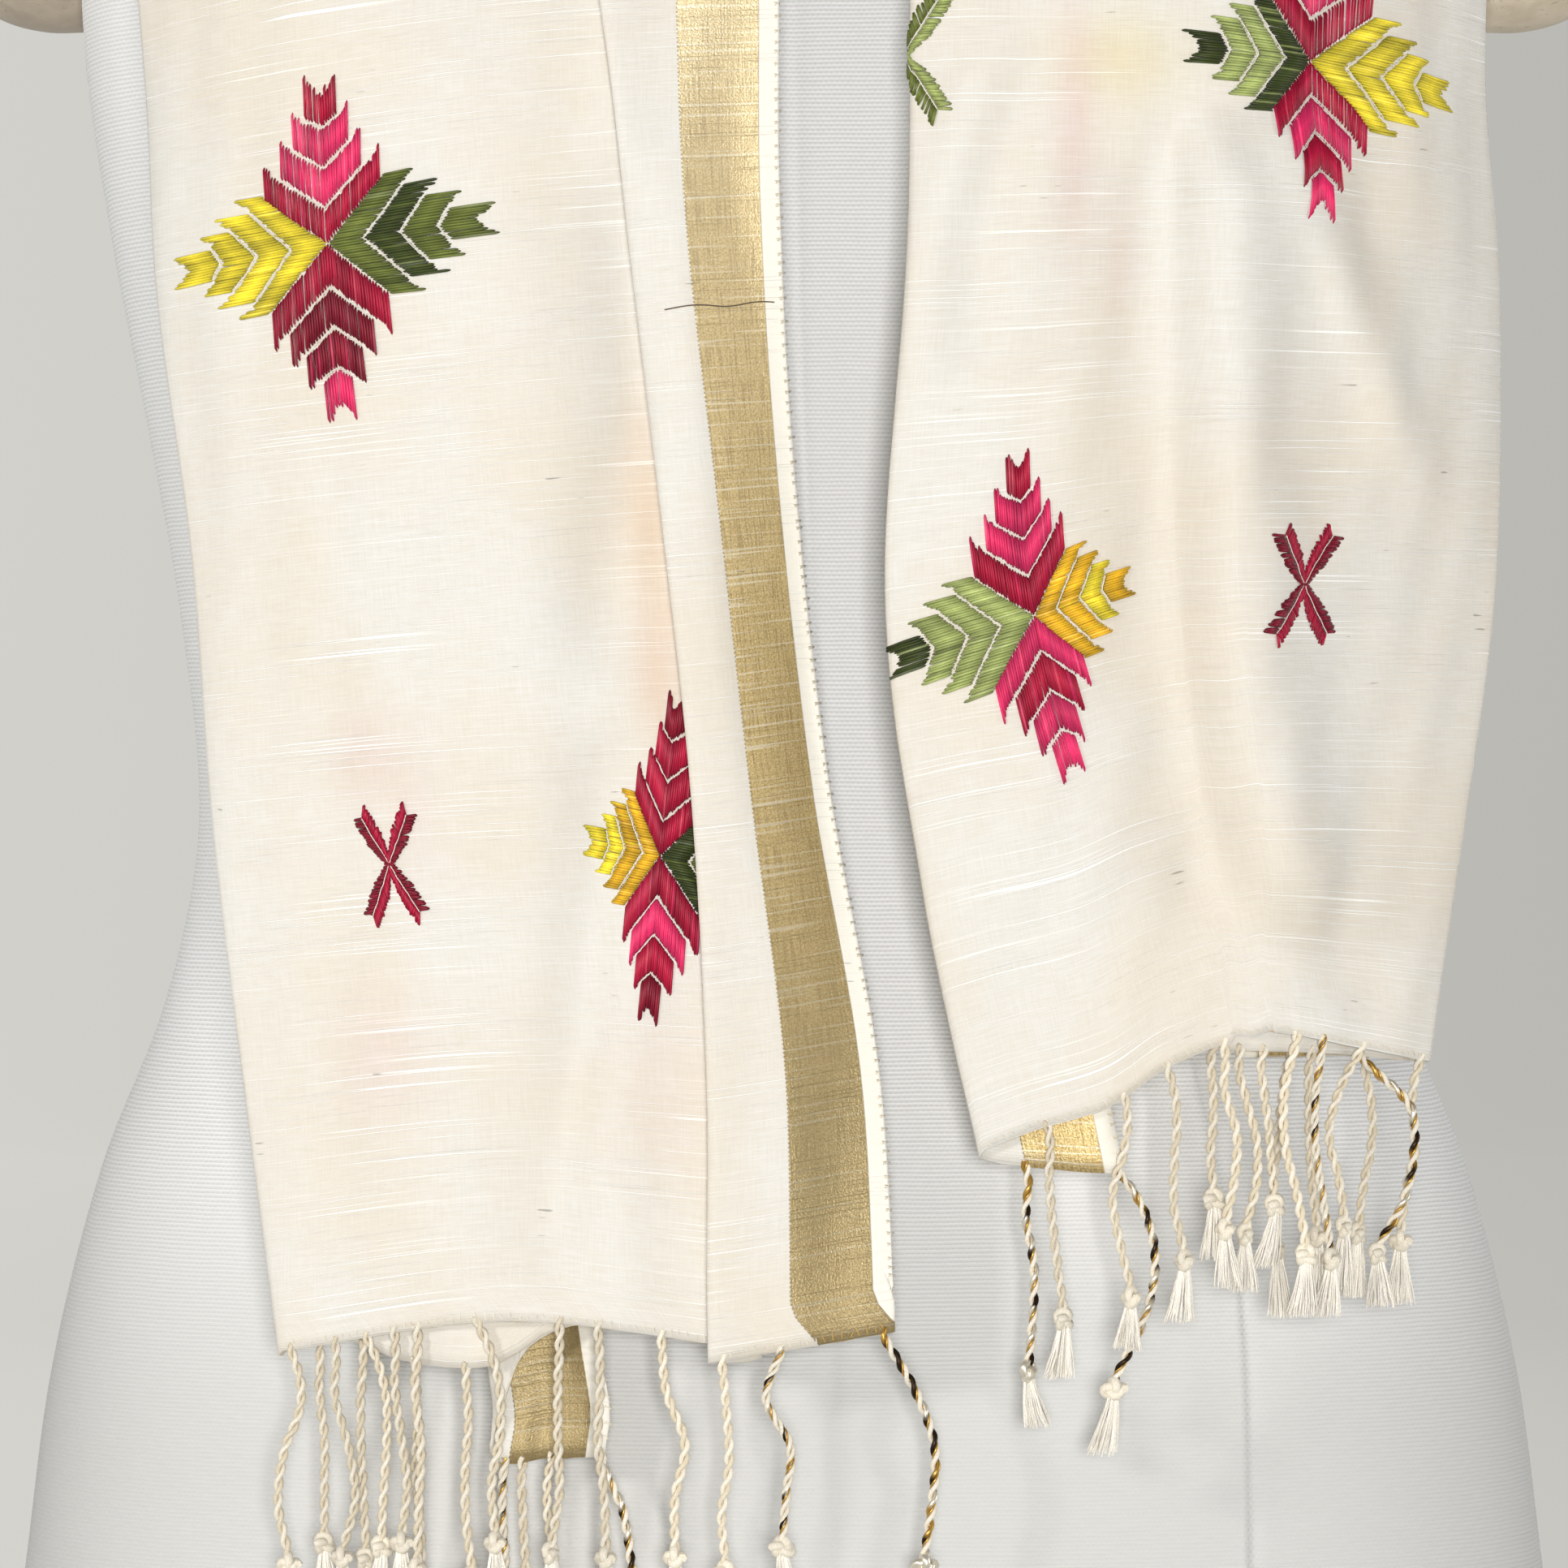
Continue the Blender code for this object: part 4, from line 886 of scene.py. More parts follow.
# threads, swept by geometry nodes along their guides
def threadTree(name, twisted):
    tree = bpy.data.node_groups.new(name, "GeometryNodeTree")
    face = tree.interface
    face.new_socket("Guides", in_out="INPUT", socket_type="NodeSocketGeometry")
    face.new_socket("Sides", in_out="INPUT", socket_type="NodeSocketInt")
    face.new_socket("Material", in_out="INPUT", socket_type="NodeSocketMaterial")
    if twisted:
        for label in ("Step", "Pitch", "Ply offset"):
            face.new_socket(label, in_out="INPUT", socket_type="NodeSocketFloat")
    face.new_socket("Threads", in_out="OUTPUT", socket_type="NodeSocketGeometry")
    enter, leave = tree.nodes.new("NodeGroupInput"), tree.nodes.new("NodeGroupOutput")

    def named(label):
        node = add(tree, "GeometryNodeInputNamedAttribute", {"data_type": "FLOAT"}, Name=label)
        return node.outputs["Attribute"]

    def vectors(operation, **inputs):
        return add(tree, "ShaderNodeVectorMath", {"operation": operation}, **inputs).outputs[0]

    curve = add(tree, "GeometryNodeMeshToCurve", Mesh=enter.outputs["Guides"]).outputs["Curve"]
    if twisted:
        even = {"mode": "LENGTH"}
        stepped = add(tree, "GeometryNodeResampleCurve", even, Curve=curve, Length=enter.outputs["Step"])
        curve = stepped.outputs["Curve"]
        gone = tree.nodes.new("GeometryNodeSplineParameter").outputs["Length"]
        turn = times(tree, sums(tree, "DIVIDE", gone, enter.outputs["Pitch"]), 2 * math.pi)
        turn = plus(tree, turn, named("phase"))
        normal = tree.nodes.new("GeometryNodeInputNormal").outputs["Normal"]
        tangent = tree.nodes.new("GeometryNodeInputTangent").outputs["Tangent"]
        side = vectors("CROSS_PRODUCT", n0=tangent, n1=normal)
        reachOut = times(tree, sums(tree, "COSINE", turn), enter.outputs["Ply offset"])
        reachSide = times(tree, sums(tree, "SINE", turn), enter.outputs["Ply offset"])
        first = vectors("SCALE", n0=normal, Scale=reachOut)
        second = vectors("SCALE", n0=side, Scale=reachSide)
        offset = vectors("ADD", n0=first, n1=second)
        curve = add(tree, "GeometryNodeSetPosition", Geometry=curve, Offset=offset).outputs["Geometry"]
    circle = add(tree, "GeometryNodeCurvePrimitiveCircle", Resolution=enter.outputs["Sides"], Radius=1.0)
    swept = add(tree, "GeometryNodeCurveToMesh", Curve=curve, Scale=named("girth"), Fill_Caps=True)
    tree.links.new(circle.outputs["Curve"], swept.inputs["Profile Curve"])
    smooth = add(tree, "GeometryNodeSetShadeSmooth", Geometry=swept.outputs["Mesh"]).outputs["Geometry"]
    real = add(tree, "GeometryNodeRealizeInstances", Geometry=smooth).outputs["Geometry"]
    last = add(tree, "GeometryNodeSetMaterial", Geometry=real, Material=enter.outputs["Material"])
    tree.links.new(last.outputs["Geometry"], leave.inputs[0])
    return tree


sewnThread = threadTree("sewnThread", False)
twistedThread = threadTree("twistedThread", True)


class Guides:
    # polylines with a girth, a shade and a ply phase at each point

    def __init__(self):
        self.points, self.girths, self.shades, self.phases, self.counts = [], [], [], [], []

    def line(self, points, girth, shade, phase=0.0):
        n = len(points)
        self.points.append(np.asarray(points))
        self.girths.append(np.broadcast_to(girth, n))
        self.shades.append(np.broadcast_to(np.asarray(shade), (n, 3)))
        self.phases.append(np.full(n, phase))
        self.counts.append(n)

    def sweep(self, name, tree, material, **inputs):
        points = np.concatenate(self.points)
        edges, start = [], 0
        for n in self.counts:
            edges += [(start + k, start + k + 1) for k in range(n - 1)]
            start += n
        mesh = bpy.data.meshes.new(name)
        mesh.from_pydata(points.tolist(), edges, [])
        for label, values in (("girth", self.girths), ("phase", self.phases)):
            layer = mesh.attributes.new(label, "FLOAT", "POINT")
            layer.data.foreach_set("value", np.concatenate(values).astype(np.float32))
        shades = np.concatenate(self.shades)
        shades = np.concatenate([shades, np.ones((len(shades), 1))], axis=1)
        layer = mesh.attributes.new("shade", "FLOAT_COLOR", "POINT")
        layer.data.foreach_set("color", shades.ravel().astype(np.float32))
        guide = bpy.data.objects.new(name + "_guides", mesh)
        bpy.context.scene.collection.objects.link(guide)
        modifier = guide.modifiers.new("threads", "NODES")
        modifier.node_group = tree
        sockets = {s.name: s.identifier for s in tree.interface.items_tree if s.in_out == "INPUT"}
        for label, value in {"Sides": 4, "Material": material, **inputs}.items():
            modifier[sockets[label]] = value
        bpy.context.view_layer.update()
        done = bpy.data.meshes.new_from_object(guide.evaluated_get(bpy.context.evaluated_depsgraph_get()))
        done.name = name
        bpy.data.objects.remove(guide)
        piece = bpy.data.objects.new(name, done)
        bpy.context.scene.collection.objects.link(piece)
        return piece


def onCloth(u, v, height):
    # places over the flat cloth's point (u, v), height in cm off its right side
    rowsV, uu, pp, nn = everyRow["v"], everyRow["u"], everyRow["points"], flatNormals
    u, v = np.broadcast_arrays(np.asarray(u, float), np.asarray(v, float))
    height = np.broadcast_to(height, u.shape)
    i = np.clip(np.searchsorted(rowsV, v) - 1, 0, len(rowsV) - 2)
    t = np.clip((v - rowsV[i]) / (rowsV[i + 1] - rowsV[i]), 0.0, 1.0)
    made = np.zeros((*u.shape, 3))
    for row in np.unique(i):
        here = i == row
        share = t[here][:, None]
        for step, weight in ((0, 1 - share), (1, share)):
            r = row + step
            at = np.stack([np.interp(u[here], uu[r], pp[r, :, c]) for c in range(3)], axis=1)
            out = np.stack([np.interp(u[here], uu[r], nn[r, :, c]) for c in range(3)], axis=1)
            made[here] += weight * (at + out * height[here][:, None] * cm)
    return made


# embroidery
silk = {
    "crimson": "#A80F36", "pink": "#DA2F66", "dark": "#7E0C26", "olive": "#6A7434", "leaf": "#A3AF6A",
    "moss": "#39431A", "lemon": "#EBD93C", "gold": "#E0B228", "cream": "#F4EEE2",
}
flowerShape = {
    "spacing": 0.050, "girth": 0.031, "rise": 0.062, "gap": 0.004, "jitter": 0.022,
    "vein": 0.011, "veinRise": 0.018, "loft": 0.012, "group": 0.24,
    # each arm: its heading, where each band starts, half widths, slopes of the chevrons, tip, depth of its fork
    "arms": (
        (90, (-0.03, 0.70, 1.50, 2.31), (1.13, 0.77, 0.52, 0.29), (0.93, 0.88, 0.80, 0.60), 3.28, 0.30),
        (270, (-0.03, 0.86, 1.66, 2.48), (1.13, 0.80, 0.54, 0.27), (1.00, 0.92, 0.82, 0.64), 3.50, 0.26),
        (180, (-0.02, 0.68, 1.40, 2.10), (1.16, 0.86, 0.58, 0.29), (1.03, 0.92, 0.84, 0.62), 3.12, 0.24),
        (0, (-0.02, 0.76, 1.50, 2.28), (1.16, 0.88, 0.60, 0.29), (1.03, 0.92, 0.84, 0.62), 3.30, 0.26),
    ),
}
crossShape = {
    "spacing": 0.054, "girth": 0.034, "rise": 0.058, "length": 1.42, "barb": 0.18, "half": 0.27, "lean": 0.68,
}
stitchSteps = np.array((0.0, 0.12, 0.5, 0.88, 1.0))
# painted light along each stitch: darker ends as painted shade, a brighter middle as painted highlight
stitchPaintedLight = np.array((0.30, 0.78, 1.16, 0.78, 0.30))[:, None]
shadeOf = {name: np.array(linear(code)) for name, code in silk.items()}


def flowerStitches(tones, coarse):
    # one flower's stitches about its middle: (a0, b0, a1, b1, shade) with b along the warp
    shape, made, veins = flowerShape, [], []
    spacing = shape["spacing"] * (2.2 if coarse else 1.0)
    for arm, (heading, starts, halves, slopes, tip, fork) in enumerate(shape["arms"]):
        ca, sa = round(math.cos(math.radians(heading))), round(math.sin(math.radians(heading)))
        for k, (start, half) in enumerate(zip(starts, halves)):
            knots = np.arange(-half - shape["group"], half + 2 * shape["group"], shape["group"])
            glow = rng.uniform(0.70, 1.25, len(knots))
            for t in np.linspace(-half, half, max(3, round(2 * half / spacing))):
                low = start + slopes[k] * abs(t) + shape["gap"]
                if k < 3:
                    high = starts[k + 1] + slopes[k + 1] * abs(t) - shape["gap"]
                else:
                    high = tip - fork * (1 - abs(t) / half)
                low += rng.normal(0, 0.5) * shape["jitter"]
                high += rng.normal(0, 1) * shape["jitter"] * (1.8 if abs(t) > half - 0.2 or k == 3 else 0.6)
                high += 0.10 * float(ease((abs(t) - half + 0.16) / 0.16))
                t0, t1 = t + rng.normal(0, 0.005), t * 1.02 + rng.normal(0, 0.007)
                shade = shadeOf[tones[arm][k]] * np.interp(t, knots, glow) * rng.uniform(0.84, 1.16)
                # now and then a stitch of the next band's colour, or a lighter one as a painted highlight
                if rng.random() < 0.10:
                    shade = 0.55 * shade + 0.45 * shadeOf[tones[arm][(k + 1) % 4]]
                if rng.random() < 0.05:
                    shade = shade * 1.25 + 0.05
                start0, start1 = ca * low - sa * t0, sa * low + ca * t0
                made.append((start0, start1, ca * high - sa * t1, sa * high + ca * t1, shade))
            ts = np.linspace(-half, half, 2 * round(half / 0.07) + 1)
            deep = start + slopes[k] * np.abs(ts) + rng.normal(0, 0.013, len(ts))
            if k:
                veins.append((ca * deep - sa * ts, sa * deep + ca * ts))
    return made, veins


def crossStitches(tones, coarse):
    # one cross's stitches: four arms with slanting barbs on both sides
    shape, made, veins = crossShape, [], []
    spacing = shape["spacing"] * (2.0 if coarse else 1.0)
    for sideA in (-1, 1):
        for sideB in (-1, 1):
            way = np.array((sideA * shape["lean"], sideB)) / math.hypot(shape["lean"], 1.0)
            over = np.array((-way[1], way[0]))
            for side in (-1, 1):
                for s in np.arange(-0.02, shape["length"] - 0.10, spacing):
                    width = shape["half"] * min(1.0, 0.45 + s) * rng.uniform(0.88, 1.12)
                    near = way * (s + rng.normal(0, 0.01)) + over * side * 0.008
                    far = way * (s + shape["barb"] * rng.uniform(0.7, 1.35)) + over * side * width
                    tone = tones[0] if side * sideA * sideB > 0 else tones[1]
                    made.append((*near, *far, shadeOf[tone] * rng.uniform(0.72, 1.2)))
            vein = way[:, None] * np.linspace(0.04, shape["length"] - 0.12, 9)
            vein = vein + over[:, None] * rng.normal(0, 0.008, 9)
            veins.append((vein[0], vein[1]))
    return made, veins


# colours of the four bands from the middle out, for the arms above, below, left and right in the flat cloth
flowerTones = {
    (1, 1): (
        ("crimson", "pink", "pink", "crimson"), ("crimson", "dark", "dark", "pink"),
        ("lemon",) * 4, ("olive", "moss", "olive", "olive"),
    ),
    (0, 2): (
        ("crimson", "crimson", "crimson", "dark"), ("crimson", "pink", "crimson", "dark"),
        ("gold", "gold", "lemon", "lemon"), ("moss", "olive", "leaf", "olive"),
    ),
    (13, 1): (
        ("crimson", "pink", "crimson", "pink"), ("crimson", "pink", "crimson", "pink"),
        ("lemon",) * 4, ("moss", "leaf", "leaf", "moss"),
    ),
    (14, 2): (
        ("pink", "crimson", "pink", "pink"), ("crimson", "pink", "pink", "crimson"),
        ("gold", "gold", "lemon", "gold"), ("leaf", "leaf", "leaf", "moss"),
    ),
}
usualTones = (
    (
        ("crimson", "pink", "crimson", "dark"), ("crimson", "crimson", "pink", "crimson"),
        ("lemon",) * 4, ("olive", "leaf", "olive", "moss"),
    ),
    (
        ("pink", "crimson", "pink", "crimson"), ("crimson", "dark", "crimson", "pink"),
        ("lemon", "gold", "lemon", "lemon"), ("moss", "olive", "leaf", "olive"),
    ),
)
# the two colours of a cross's barbs
crossTones = {(0, 1): ("crimson", "dark"), (14, 1): ("crimson", "dark"), (13, 2): ("olive", "leaf")}
usualLay = (1.0, 1.0, 1.0, 1.0, 0.0, 0.0)


def laid(a, b, lay):
    # a motif's points where the cloth is pulled out of true
    left, right, below, above, lean, rise = lay
    across, along = a * np.where(a < 0, left, right), b * np.where(b < 0, below, above)
    return across + lean * along, along + rise * across


def makeEmbroidery():
    gathered = {name: [] for name, *_ in stretches}
    for row, v0 in enumerate(motifRows):
        name = next(n for n, first, last, _ in stretches if v0 <= last + 0.1)
        for column in range(3):
            u0 = between(motifColumns, v0)[column]
            coarse = column == 0
            lay = motifLays.get((row, column), usualLay)
            if (row + column) % 2 == 0:
                shape = flowerShape
                tones = flowerTones.get((row, column), usualTones[(row + column) // 2 % 2])
                stitches, veins = flowerStitches(tones, coarse)
            else:
                shape = crossShape
                usual = ("pink", "dark") if column == 1 else ("leaf", "moss")
                stitches, veins = crossStitches(crossTones.get((row, column), usual), coarse)
            girth = shape["girth"] * (1.9 if coarse else 1.0)
            gathered[name].append((u0, v0, lay, stitches, veins, girth, shape["rise"]))
    made = {}
    inner = np.array((0, 1, 1, 1, 0))
    for name, motifs in gathered.items():
        guides = Guides()
        for u0, v0, lay, stitches, veins, girth, rise in motifs:
            ends = np.array([s[:4] for s in stitches])
            a = ends[:, 0:1] + (ends[:, 2:3] - ends[:, 0:1]) * stitchSteps
            b = ends[:, 1:2] + (ends[:, 3:4] - ends[:, 1:2]) * stitchSteps
            a, b = laid(a, b, lay)
            loft = flowerShape["loft"] * (rng.random((len(stitches), 1)) - 0.5)
            spots = onCloth(u0 + a, v0 + b, rise * inner + loft)
            widths = girth * (0.45 + 0.55 * inner) * cm
            for spot, s in zip(spots, stitches):
                guides.line(spot, widths, s[4] * stitchPaintedLight)
            for va, vb in veins:
                va, vb = laid(va, vb, lay)
                spots = onCloth(u0 + va, v0 + vb, rise + flowerShape["veinRise"])
                guides.line(spots, flowerShape["vein"] * cm, shadeOf["cream"])
        piece = guides.sweep(f"embroidery_{name}", sewnThread, silkThread)
        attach(piece, "root")
        made[name] = piece
    return made


embroidery = makeEmbroidery()
print("embroidery", sum(len(p.data.polygons) for p in embroidery.values()), "faces")


# fringe, hems and selvedges
fringeShape = {
    # the first line is in metres, other lengths in cm
    "step": 0.0005, "pitch": 0.0060, "plyOffset": 0.00056, "plyGirth": 0.00052,
    "settles": 0.25, "knotDrop": 0.12, "knotRadius": 0.125, "knotGirth": 0.095,
    "tuftThreads": 60, "tuftLength": 1.15, "tuftSpread": 0.32, "tuftGirth": 0.0175,
    "tuftTaper": (1.2, 1.1, 1.0, 1.0, 0.95, 0.7),
}
# run of the section, share along it, length to the knot, stray at 1/4, 1/2, 3/4 and the end, share of gold
leftStrands = (
    (0, 0.03, 4.2, 0.43, 0.6, 0.69, 0.6, 1), (0, 0.50, 3.6, -0.1, 0.0, 0.15, 0.2, 0),
    (0, 0.78, 3.9, 0.0, 0.05, 0.12, 0.2, 0), (0, 0.95, 3.9, -0.05, 0.0, 0.0, 0.1, 0.5),
    (2, 0.44, 4.1, 0.05, -0.02, 0.0, 0.12, 0), (2, 0.60, 4.2, 0.05, 0.0, 0.1, 0.15, 0),
    (2, 0.76, 4.2, -0.06, -0.05, 0.0, 0.05, 0), (2, 0.90, 4.0, 0.0, 0.1, 0.1, 0.1, 0),
    (3, 0.02, 4.2, 0.2, -0.15, -0.26, -0.05, 0), (3, 0.12, 4.2, -0.02, 0.26, 0.4, 0.15, 0),
    (3, 0.19, 4.1, 0.36, 0.4, 0.34, 0.3, 0), (3, 0.25, 4.1, 0.0, 0.13, 0.25, 0.15, 0),
    (3, 0.30, 4.7, -0.05, 0.07, 0.03, 0.0, 0), (3, 0.43, 4.3, 0.4, 0.46, 0.28, 0.35, 0),
    (3, 0.60, 4.5, -0.03, -0.03, 0.0, -0.16, 0), (3, 0.68, 4.5, 0.05, 0.0, 0.13, 0.16, 0),
    (3, 0.81, 4.3, 0.1, 0.48, 0.28, 0.28, 0), (5, 0.03, 4.1, 0.1, 0.15, 0.0, 0.08, 0),
    (5, 0.37, 3.8, -0.3, 0.18, 0.1, 0.03, 0.5), (5, 0.95, 4.5, 0.66, 1.05, 1.0, 0.85, 1),
)
rightStrands = (
    (0, 0.97, 3.5, 0.15, 0.17, 0.0, -0.1, 0), (1, 0.50, 3.9, -0.2, -0.3, -0.4, -0.3, 0),
    (2, 0.08, 2.9, 0.0, 0.0, -0.05, 0.02, 0), (2, 0.18, 3.6, 0.1, 0.33, 0.33, 0.12, 0),
    (2, 0.27, 3.0, 0.0, 0.1, 0.15, 0.23, 0), (2, 0.47, 3.6, -0.06, -0.05, 0.0, 0.1, 0),
    (2, 0.70, 3.9, 1.0, 1.1, 0.9, 0.4, 1), (3, 0.05, 3.55, -0.17, -0.1, -0.3, -0.4, 0),
    (3, 0.47, 3.5, -0.46, -0.66, -0.46, -0.35, 0), (3, 0.73, 4.3, -0.15, -0.15, 0.0, 0.15, 0.5),
    (3, 0.88, 4.3, -0.25, -0.25, 0.0, 0.17, 0), (5, 0.03, 3.6, 0.0, 0.25, 0.2, 0.03, 0),
    (5, 0.27, 3.75, 0.2, 0.15, 0.15, 0.35, 0), (5, 0.44, 3.9, 0.0, -0.25, -0.1, 0.12, 0),
    (5, 0.75, 3.75, 0.03, 0.09, 0.2, 0.32, 0), (6, 0.28, 4.0, 0.0, 0.16, 0.14, 0.06, 1),
    (6, 0.97, 4.2, 0.6, 0.7, 0.4, -0.1, 1),
)
creamShade, tuftShade = np.array(linear("#EFE7D5")), np.array(linear("#F8F3E8"))
tanShade, goldShade = np.array(linear("#CDBB95")), np.array(linear("#C39A4B"))
wornShade, darkShade = np.array(linear("#2F2113")), linear("#5A4936")
# painted shade: the second ply of a plain strand is the same cream made darker
shadedPlyTint = (0.86, 0.82, 0.74)
hemShape = {"into": 0.02, "edge": 0.017, "stitch": 0.013, "spacing": 0.17}
straightDown = np.array((0, 0, -1.0))


def plies(cream, gold, points, goldShare):
    # two twisted plies; a gold one has worn, dark turns and a finer gold thread along it
    phase = rng.uniform(0, 2 * math.pi)
    tint = creamShade * rng.uniform(0.88, 1.06)
    girth = fringeShape["plyGirth"] * rng.uniform(0.92, 1.06)
    cream.line(points, girth, tint, phase)
    if goldShare:
        picks = rng.choice(3, size=len(points) // 3 + 1, p=(0.46, 0.28, 0.26))
        worn = np.array((wornShade, goldShade, tint))[np.repeat(picks, 3)[:len(points)]]
        gold.line(points, girth * (0.96 if goldShare == 1 else 0.6), worn, phase + math.pi)
        gold.line(points, girth * 0.42, goldShade, phase + math.pi / 2)
        if goldShare < 1:
            cream.line(points, girth * 0.9, tint * 0.97, phase + 1.2 * math.pi)
    else:
        # the second ply darker, as painted shade between the plies
        cream.line(points, girth, tint * shadedPlyTint, phase + math.pi)
    return tint


def knotRing():
    # an overhand knot's closed line about its middle, turned at random
    t = np.linspace(0, 2 * math.pi, 30)
    tilt = rng.uniform(0, math.pi)
    ringX, ringZ = (2 + np.cos(3 * t)) * np.cos(2 * t), (2 + np.cos(3 * t)) * np.sin(2 * t)
    knot = np.stack([
        ringX * math.cos(tilt) + np.sin(3 * t) * math.sin(tilt),
        np.sin(3 * t) * math.cos(tilt) - ringX * math.sin(tilt), ringZ * 0.8,
    ], axis=1)
    return knot * fringeShape["knotRadius"] * cm * 0.5


def makeTuft(tufts, middle):
    # the loose ends below a knot
    shape = fringeShape
    lean = rng.normal(0, 0.16, 2)
    tuftTall = shape["tuftLength"] * rng.uniform(0.85, 1.15)
    girths = shape["tuftGirth"] * cm * np.array(shape["tuftTaper"])
    ts = np.linspace(0, 1, len(girths))[:, None]
    for _ in range(shape["tuftThreads"]):
        angle, far = rng.uniform(0, 2 * math.pi), shape["tuftSpread"] * math.sqrt(rng.random())
        out = np.array((math.cos(angle) * far, math.sin(angle) * far * 0.6, 0))
        tall = tuftTall * rng.uniform(0.92, 1.03)
        sway = np.array((lean[0], lean[1] * 0.4, 0)) * ts ** 1.5
        spread = out * (0.28 + 0.72 * ts) + sway + straightDown * (0.05 + tall * ts)
        path = middle + (spread + rng.normal(0, 0.012, (len(girths), 3)) * ts) * cm
        tufts.line(path, girths, tuftShade * rng.uniform(0.88, 1.08))


def whipHem(hem, side):
    # a thin thread along the hem's edge and stitches over it, gold along the borders
    shape, width = hemShape, stoleShape["width"]
    v, into = (shape["into"], 1) if side == "left" else (stoleLength - shape["into"], -1)
    outer, inner = clothLook["borderOut"], clothLook["borderIn"]
    us = np.arange(0.0, width, 0.1)
    fromEdge = np.minimum(us, width - us)
    shades = np.where(((fromEdge > outer) & (fromEdge < inner))[:, None], goldShade * 0.8, tanShade)
    spots = onCloth(us, v + 0.02 * np.sin(us * 5.3) * np.sin(us * 1.7), 0.012 * np.sin(us * 9.0))
    hem.line(spots, shape["edge"] * cm, shades)
    for u0 in np.arange(0.08, width, shape["spacing"]):
        slant = rng.uniform(0.04, 0.12)
        reachIn = into * np.array((0.02, 0.10, 0.16)) * rng.uniform(0.7, 1.2)
        spots = onCloth(np.array((u0, u0 + slant * 0.5, u0 + slant)), v + reachIn, np.array((0.02, 0.05, 0.03)))
        isGold = outer < min(u0, width - u0) < inner
        hem.line(spots, shape["stitch"] * cm, goldShade if isGold else creamShade * rng.uniform(0.82, 1.0))


def makeFringe(side):
    part = cloth[f"{side}_front"]
    row, inward = (0, 1) if side == "left" else (-1, -2)
    ends, above, runs = part["points"][row], part["points"][inward], part["runs"]
    away = unit(ends - above)
    cream, gold, tufts, hem = Guides(), Guides(), Guides(), Guides()
    shape = fringeShape
    for run, share, length, *strays, goldShare in (leftStrands if side == "left" else rightStrands):
        key = runKey(run, share)
        root = np.array([np.interp(key, runs, ends[:, c]) for c in range(3)])
        down = unit(np.array([np.interp(key, runs, away[:, c]) for c in range(3)]))
        table = [(0.0, 0.0), *((k + 1, s) for k, s in enumerate(strays)), (5, strays[-1])]

        def spot(distance):
            # the strand leaves along the cloth, hangs down and strays sideways
            heading = unit(down + (straightDown - down) * ease(distance / (shape["settles"] * length)))
            stray = np.array((between(table, 4 * distance / length)[0] * cm, 0, 0))
            return root + heading * distance * cm + stray

        points = np.array([spot(d) for d in np.arange(-0.12, length + 0.02, 0.1)])
        tint = plies(cream, gold, points, goldShare)
        middle = spot(length + shape["knotDrop"])
        knot = middle + knotRing()
        tiedWith = gold if goldShare == 1 and rng.random() < 0.5 else cream
        tiedWith.line(knot, shape["knotGirth"] * cm, tint * 0.98)
        makeTuft(tufts, middle)
    whipHem(hem, side)
    twist = {"Sides": 6, "Step": shape["step"], "Pitch": shape["pitch"], "Ply offset": shape["plyOffset"]}
    made = [
        cream.sweep(f"fringe_strands_{side}", twistedThread, creamThread, **twist),
        gold.sweep(f"gold_strands_{side}", twistedThread, goldThread, **twist),
        tufts.sweep(f"fringe_tufts_{side}", sewnThread, creamThread),
        hem.sweep(f"hem_whipping_{side}", sewnThread, creamThread),
    ]
    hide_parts(f"fringe_{side}")
    for piece in made:
        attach(piece, "root")
    return made


selvedgeShape = {"spacing": 0.23, "girth": 0.034, "half": 0.045, "in": 0.09, "swell": 0.045}
# one dark weft thread that crosses the border, cm
darkWeft = {"piece": "left_front", "from": 25.9, "to": 28.3, "v": 20.5, "height": 0.045, "girth": 0.013}


def makeSelvedges(name):
    # the weft turns back at each selvedge in small uneven loops
    part, guides, shape = cloth[name], Guides(), selvedgeShape
    first, last = part["v"][0], part["v"][-1]
    for edge, inner in ((0.0, 1), (stoleShape["width"], -1)):
        vs = np.arange(first + 0.1, last - 0.1, shape["spacing"])
        vs = vs + rng.normal(0, 0.03, len(vs))
        u1 = np.full_like(vs, edge + inner * shape["in"])
        top, low = onCloth(u1, vs, shape["half"]), onCloth(u1, vs + 0.05, -shape["half"])
        edgeSpots = onCloth(np.full_like(vs, edge), vs + 0.02, 0.0)
        out = unit(edgeSpots - onCloth(np.full_like(vs, edge + inner * 0.2), vs + 0.02, 0.0))
        swell = rng.uniform(0.0, shape["swell"], len(vs))[:, None] * cm
        for a, b, c in zip(top, edgeSpots + out * swell, low):
            guides.line(np.array((a, b, c)), shape["girth"] * cm, creamShade * 1.03)
    if name == darkWeft["piece"]:
        us = np.linspace(darkWeft["from"], darkWeft["to"], 40)
        spots = onCloth(us, darkWeft["v"] + 0.03 * np.sin(us * 4.1), darkWeft["height"])
        guides.line(spots, darkWeft["girth"] * cm, darkShade)
    piece = guides.sweep(f"selvedge_loops_{name}", sewnThread, creamThread)
    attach(piece, "root")
    return piece


fringes = {side: makeFringe(side) for side in ("left", "right")}
selvedges = {name: makeSelvedges(name) for name, *_ in stretches}
for name, first, last, _ in stretches:
    extras = [embroidery[name], selvedges[name]]
    if name.endswith("front"):
        extras += fringes[name.split("_")[0]]
print("fringes", [len(p.data.polygons) for side in fringes.values() for p in side])


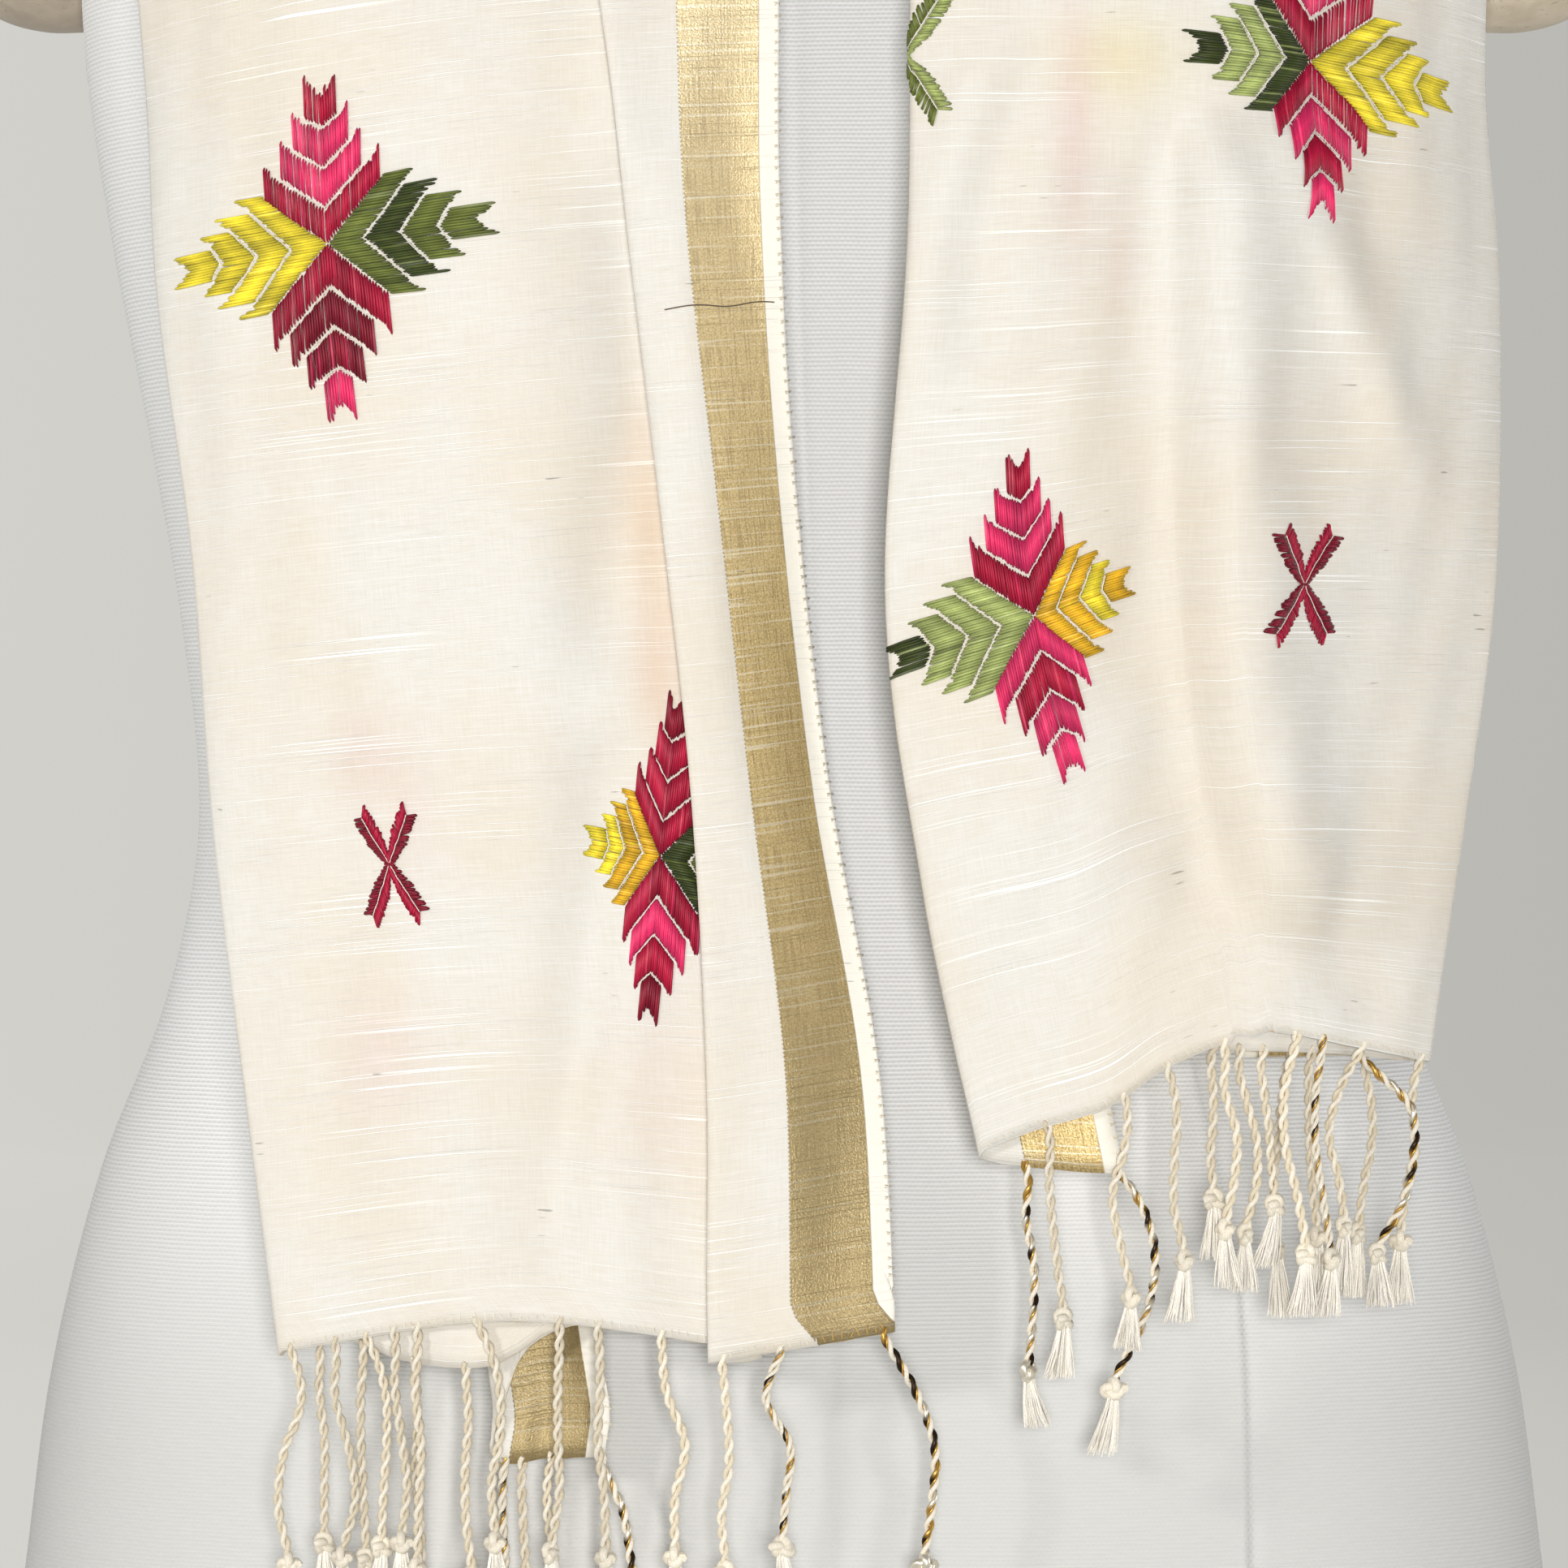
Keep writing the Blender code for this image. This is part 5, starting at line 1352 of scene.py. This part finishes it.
# floor, light and camera
stageShape = {
    "floorRows": (-1.2, 0.0, 2.0, 4.0), "back": 6.0, "half": 4.0, "turn": 0.6, "turnSteps": 12,
    "wallRows": (1.5, 3.0),
    # the far part's glow is painted light, paler on the left than on the right
    "floor": "#E0E0DB", "farBase": "#303030", "paintedGlowLeft": "#D0CFC9", "paintedGlowRight": "#B8B7B2",
    "farFrom": 1.0, "farFull": 1.8, "paintedGlowHalf": 0.8,
}


def makeStage():
    # a pale sweep: floor, curve and wall in one sheet, with room behind the form
    shape = stageShape
    turn, back, half = shape["turn"], shape["back"], shape["half"]
    points = [(y, 0.0) for y in shape["floorRows"]]
    for k in range(shape["turnSteps"] + 1):
        a = math.pi / 2 * k / shape["turnSteps"]
        points.append((back + turn * math.sin(a), turn * (1 - math.cos(a))))
    points += [(back + turn, z) for z in shape["wallRows"]]
    rows = [(x, y, z) for y, z in points for x in (-half, half)]
    material, tree, shader = newMaterial("pale painted sweep", 0.9, specular=0.1)
    place = add(tree, "ShaderNodeTexCoord").outputs["Object"]
    split = add(tree, "ShaderNodeSeparateXYZ", Vector=place)
    # painted light: the far part glows by emission, standing in for a lit paper backdrop, and glows darker on
    # the right as painted shade
    across = window(tree, split.outputs[0], -shape["paintedGlowHalf"], shape["paintedGlowHalf"])
    tint = blend(tree, across, linear(shape["paintedGlowLeft"]), linear(shape["paintedGlowRight"]))
    far = window(tree, split.outputs[1], shape["farFrom"], shape["farFull"])
    base = blend(tree, far, linear(shape["floor"]), linear(shape["farBase"]))
    tree.links.new(base, shader.inputs["Base Color"])
    tree.links.new(blend(tree, far, (0.0, 0.0, 0.0), tint), shader.inputs["Emission Color"])
    shader.inputs["Emission Strength"].default_value = 1.0
    faces = [(2 * k, 2 * k + 1, 2 * k + 3, 2 * k + 2) for k in range(len(points) - 1)]
    floor = meshPiece("pale_sweep", rows, faces, material)
    return floor


# soft boxes: name, place, width and height in metres, watts, colour
softboxes = (
    ("key", (-1.7, -2.0, 1.05), (0.35, 0.35), 22.0, (1.0, 0.985, 0.96)),
    ("left", (-2.1, -0.3, 0.6), (1.2, 1.2), 9.0, (1.0, 1.0, 1.0)),
    ("right", (2.2, -0.4, 0.5), (1.2, 1.2), 17.0, (1.0, 1.0, 1.0)),
    ("front", (0.12, -3.0, 0.28), (0.6, 0.6), 64.0, (1.0, 1.0, 1.0)),
    ("back", (0.2, 3.0, 1.5), (1.6, 1.2), 40.0, (1.0, 1.0, 1.0)),
)
lightAim = (0.0, -0.1, waist)
roomLight = {"colour": (0.93, 0.95, 1.0, 1.0), "strength": 0.12}
view = {"lens": 227.3, "sensor": 36.0, "near": 0.05, "far": 20.0, "distance": 2.11, "rise": 0.0138}


def softbox(name, place, size, power, colour):
    data = bpy.data.lights.new(name, "AREA")
    data.shape, data.size, data.size_y = "RECTANGLE", size[0], size[1]
    data.energy, data.color = power, colour
    lamp = bpy.data.objects.new(name, data)
    lamp.location = place
    lamp.rotation_euler = (Vector(lightAim) - Vector(place)).to_track_quat("-Z", "Y").to_euler()
    bpy.context.scene.collection.objects.link(lamp)


makeStage()
for row in softboxes:
    softbox(*row)
scene = bpy.context.scene
if scene.world is None:
    scene.world = bpy.data.worlds.new("room")
scene.world.use_nodes = True
background = scene.world.node_tree.nodes["Background"]
background.inputs[0].default_value = roomLight["colour"]
background.inputs[1].default_value = roomLight["strength"]
scene.view_settings.view_transform = "Standard"

lens = bpy.data.cameras.new("camera")
lens.lens, lens.sensor_width = view["lens"], view["sensor"]
lens.clip_start, lens.clip_end = view["near"], view["far"]
camera = bpy.data.objects.new("camera", lens)
camera.location = (0.0, -view["distance"], waist + view["rise"])
camera.rotation_euler = (math.pi / 2, 0.0, 0.0)
scene.collection.objects.link(camera)
scene.camera = camera
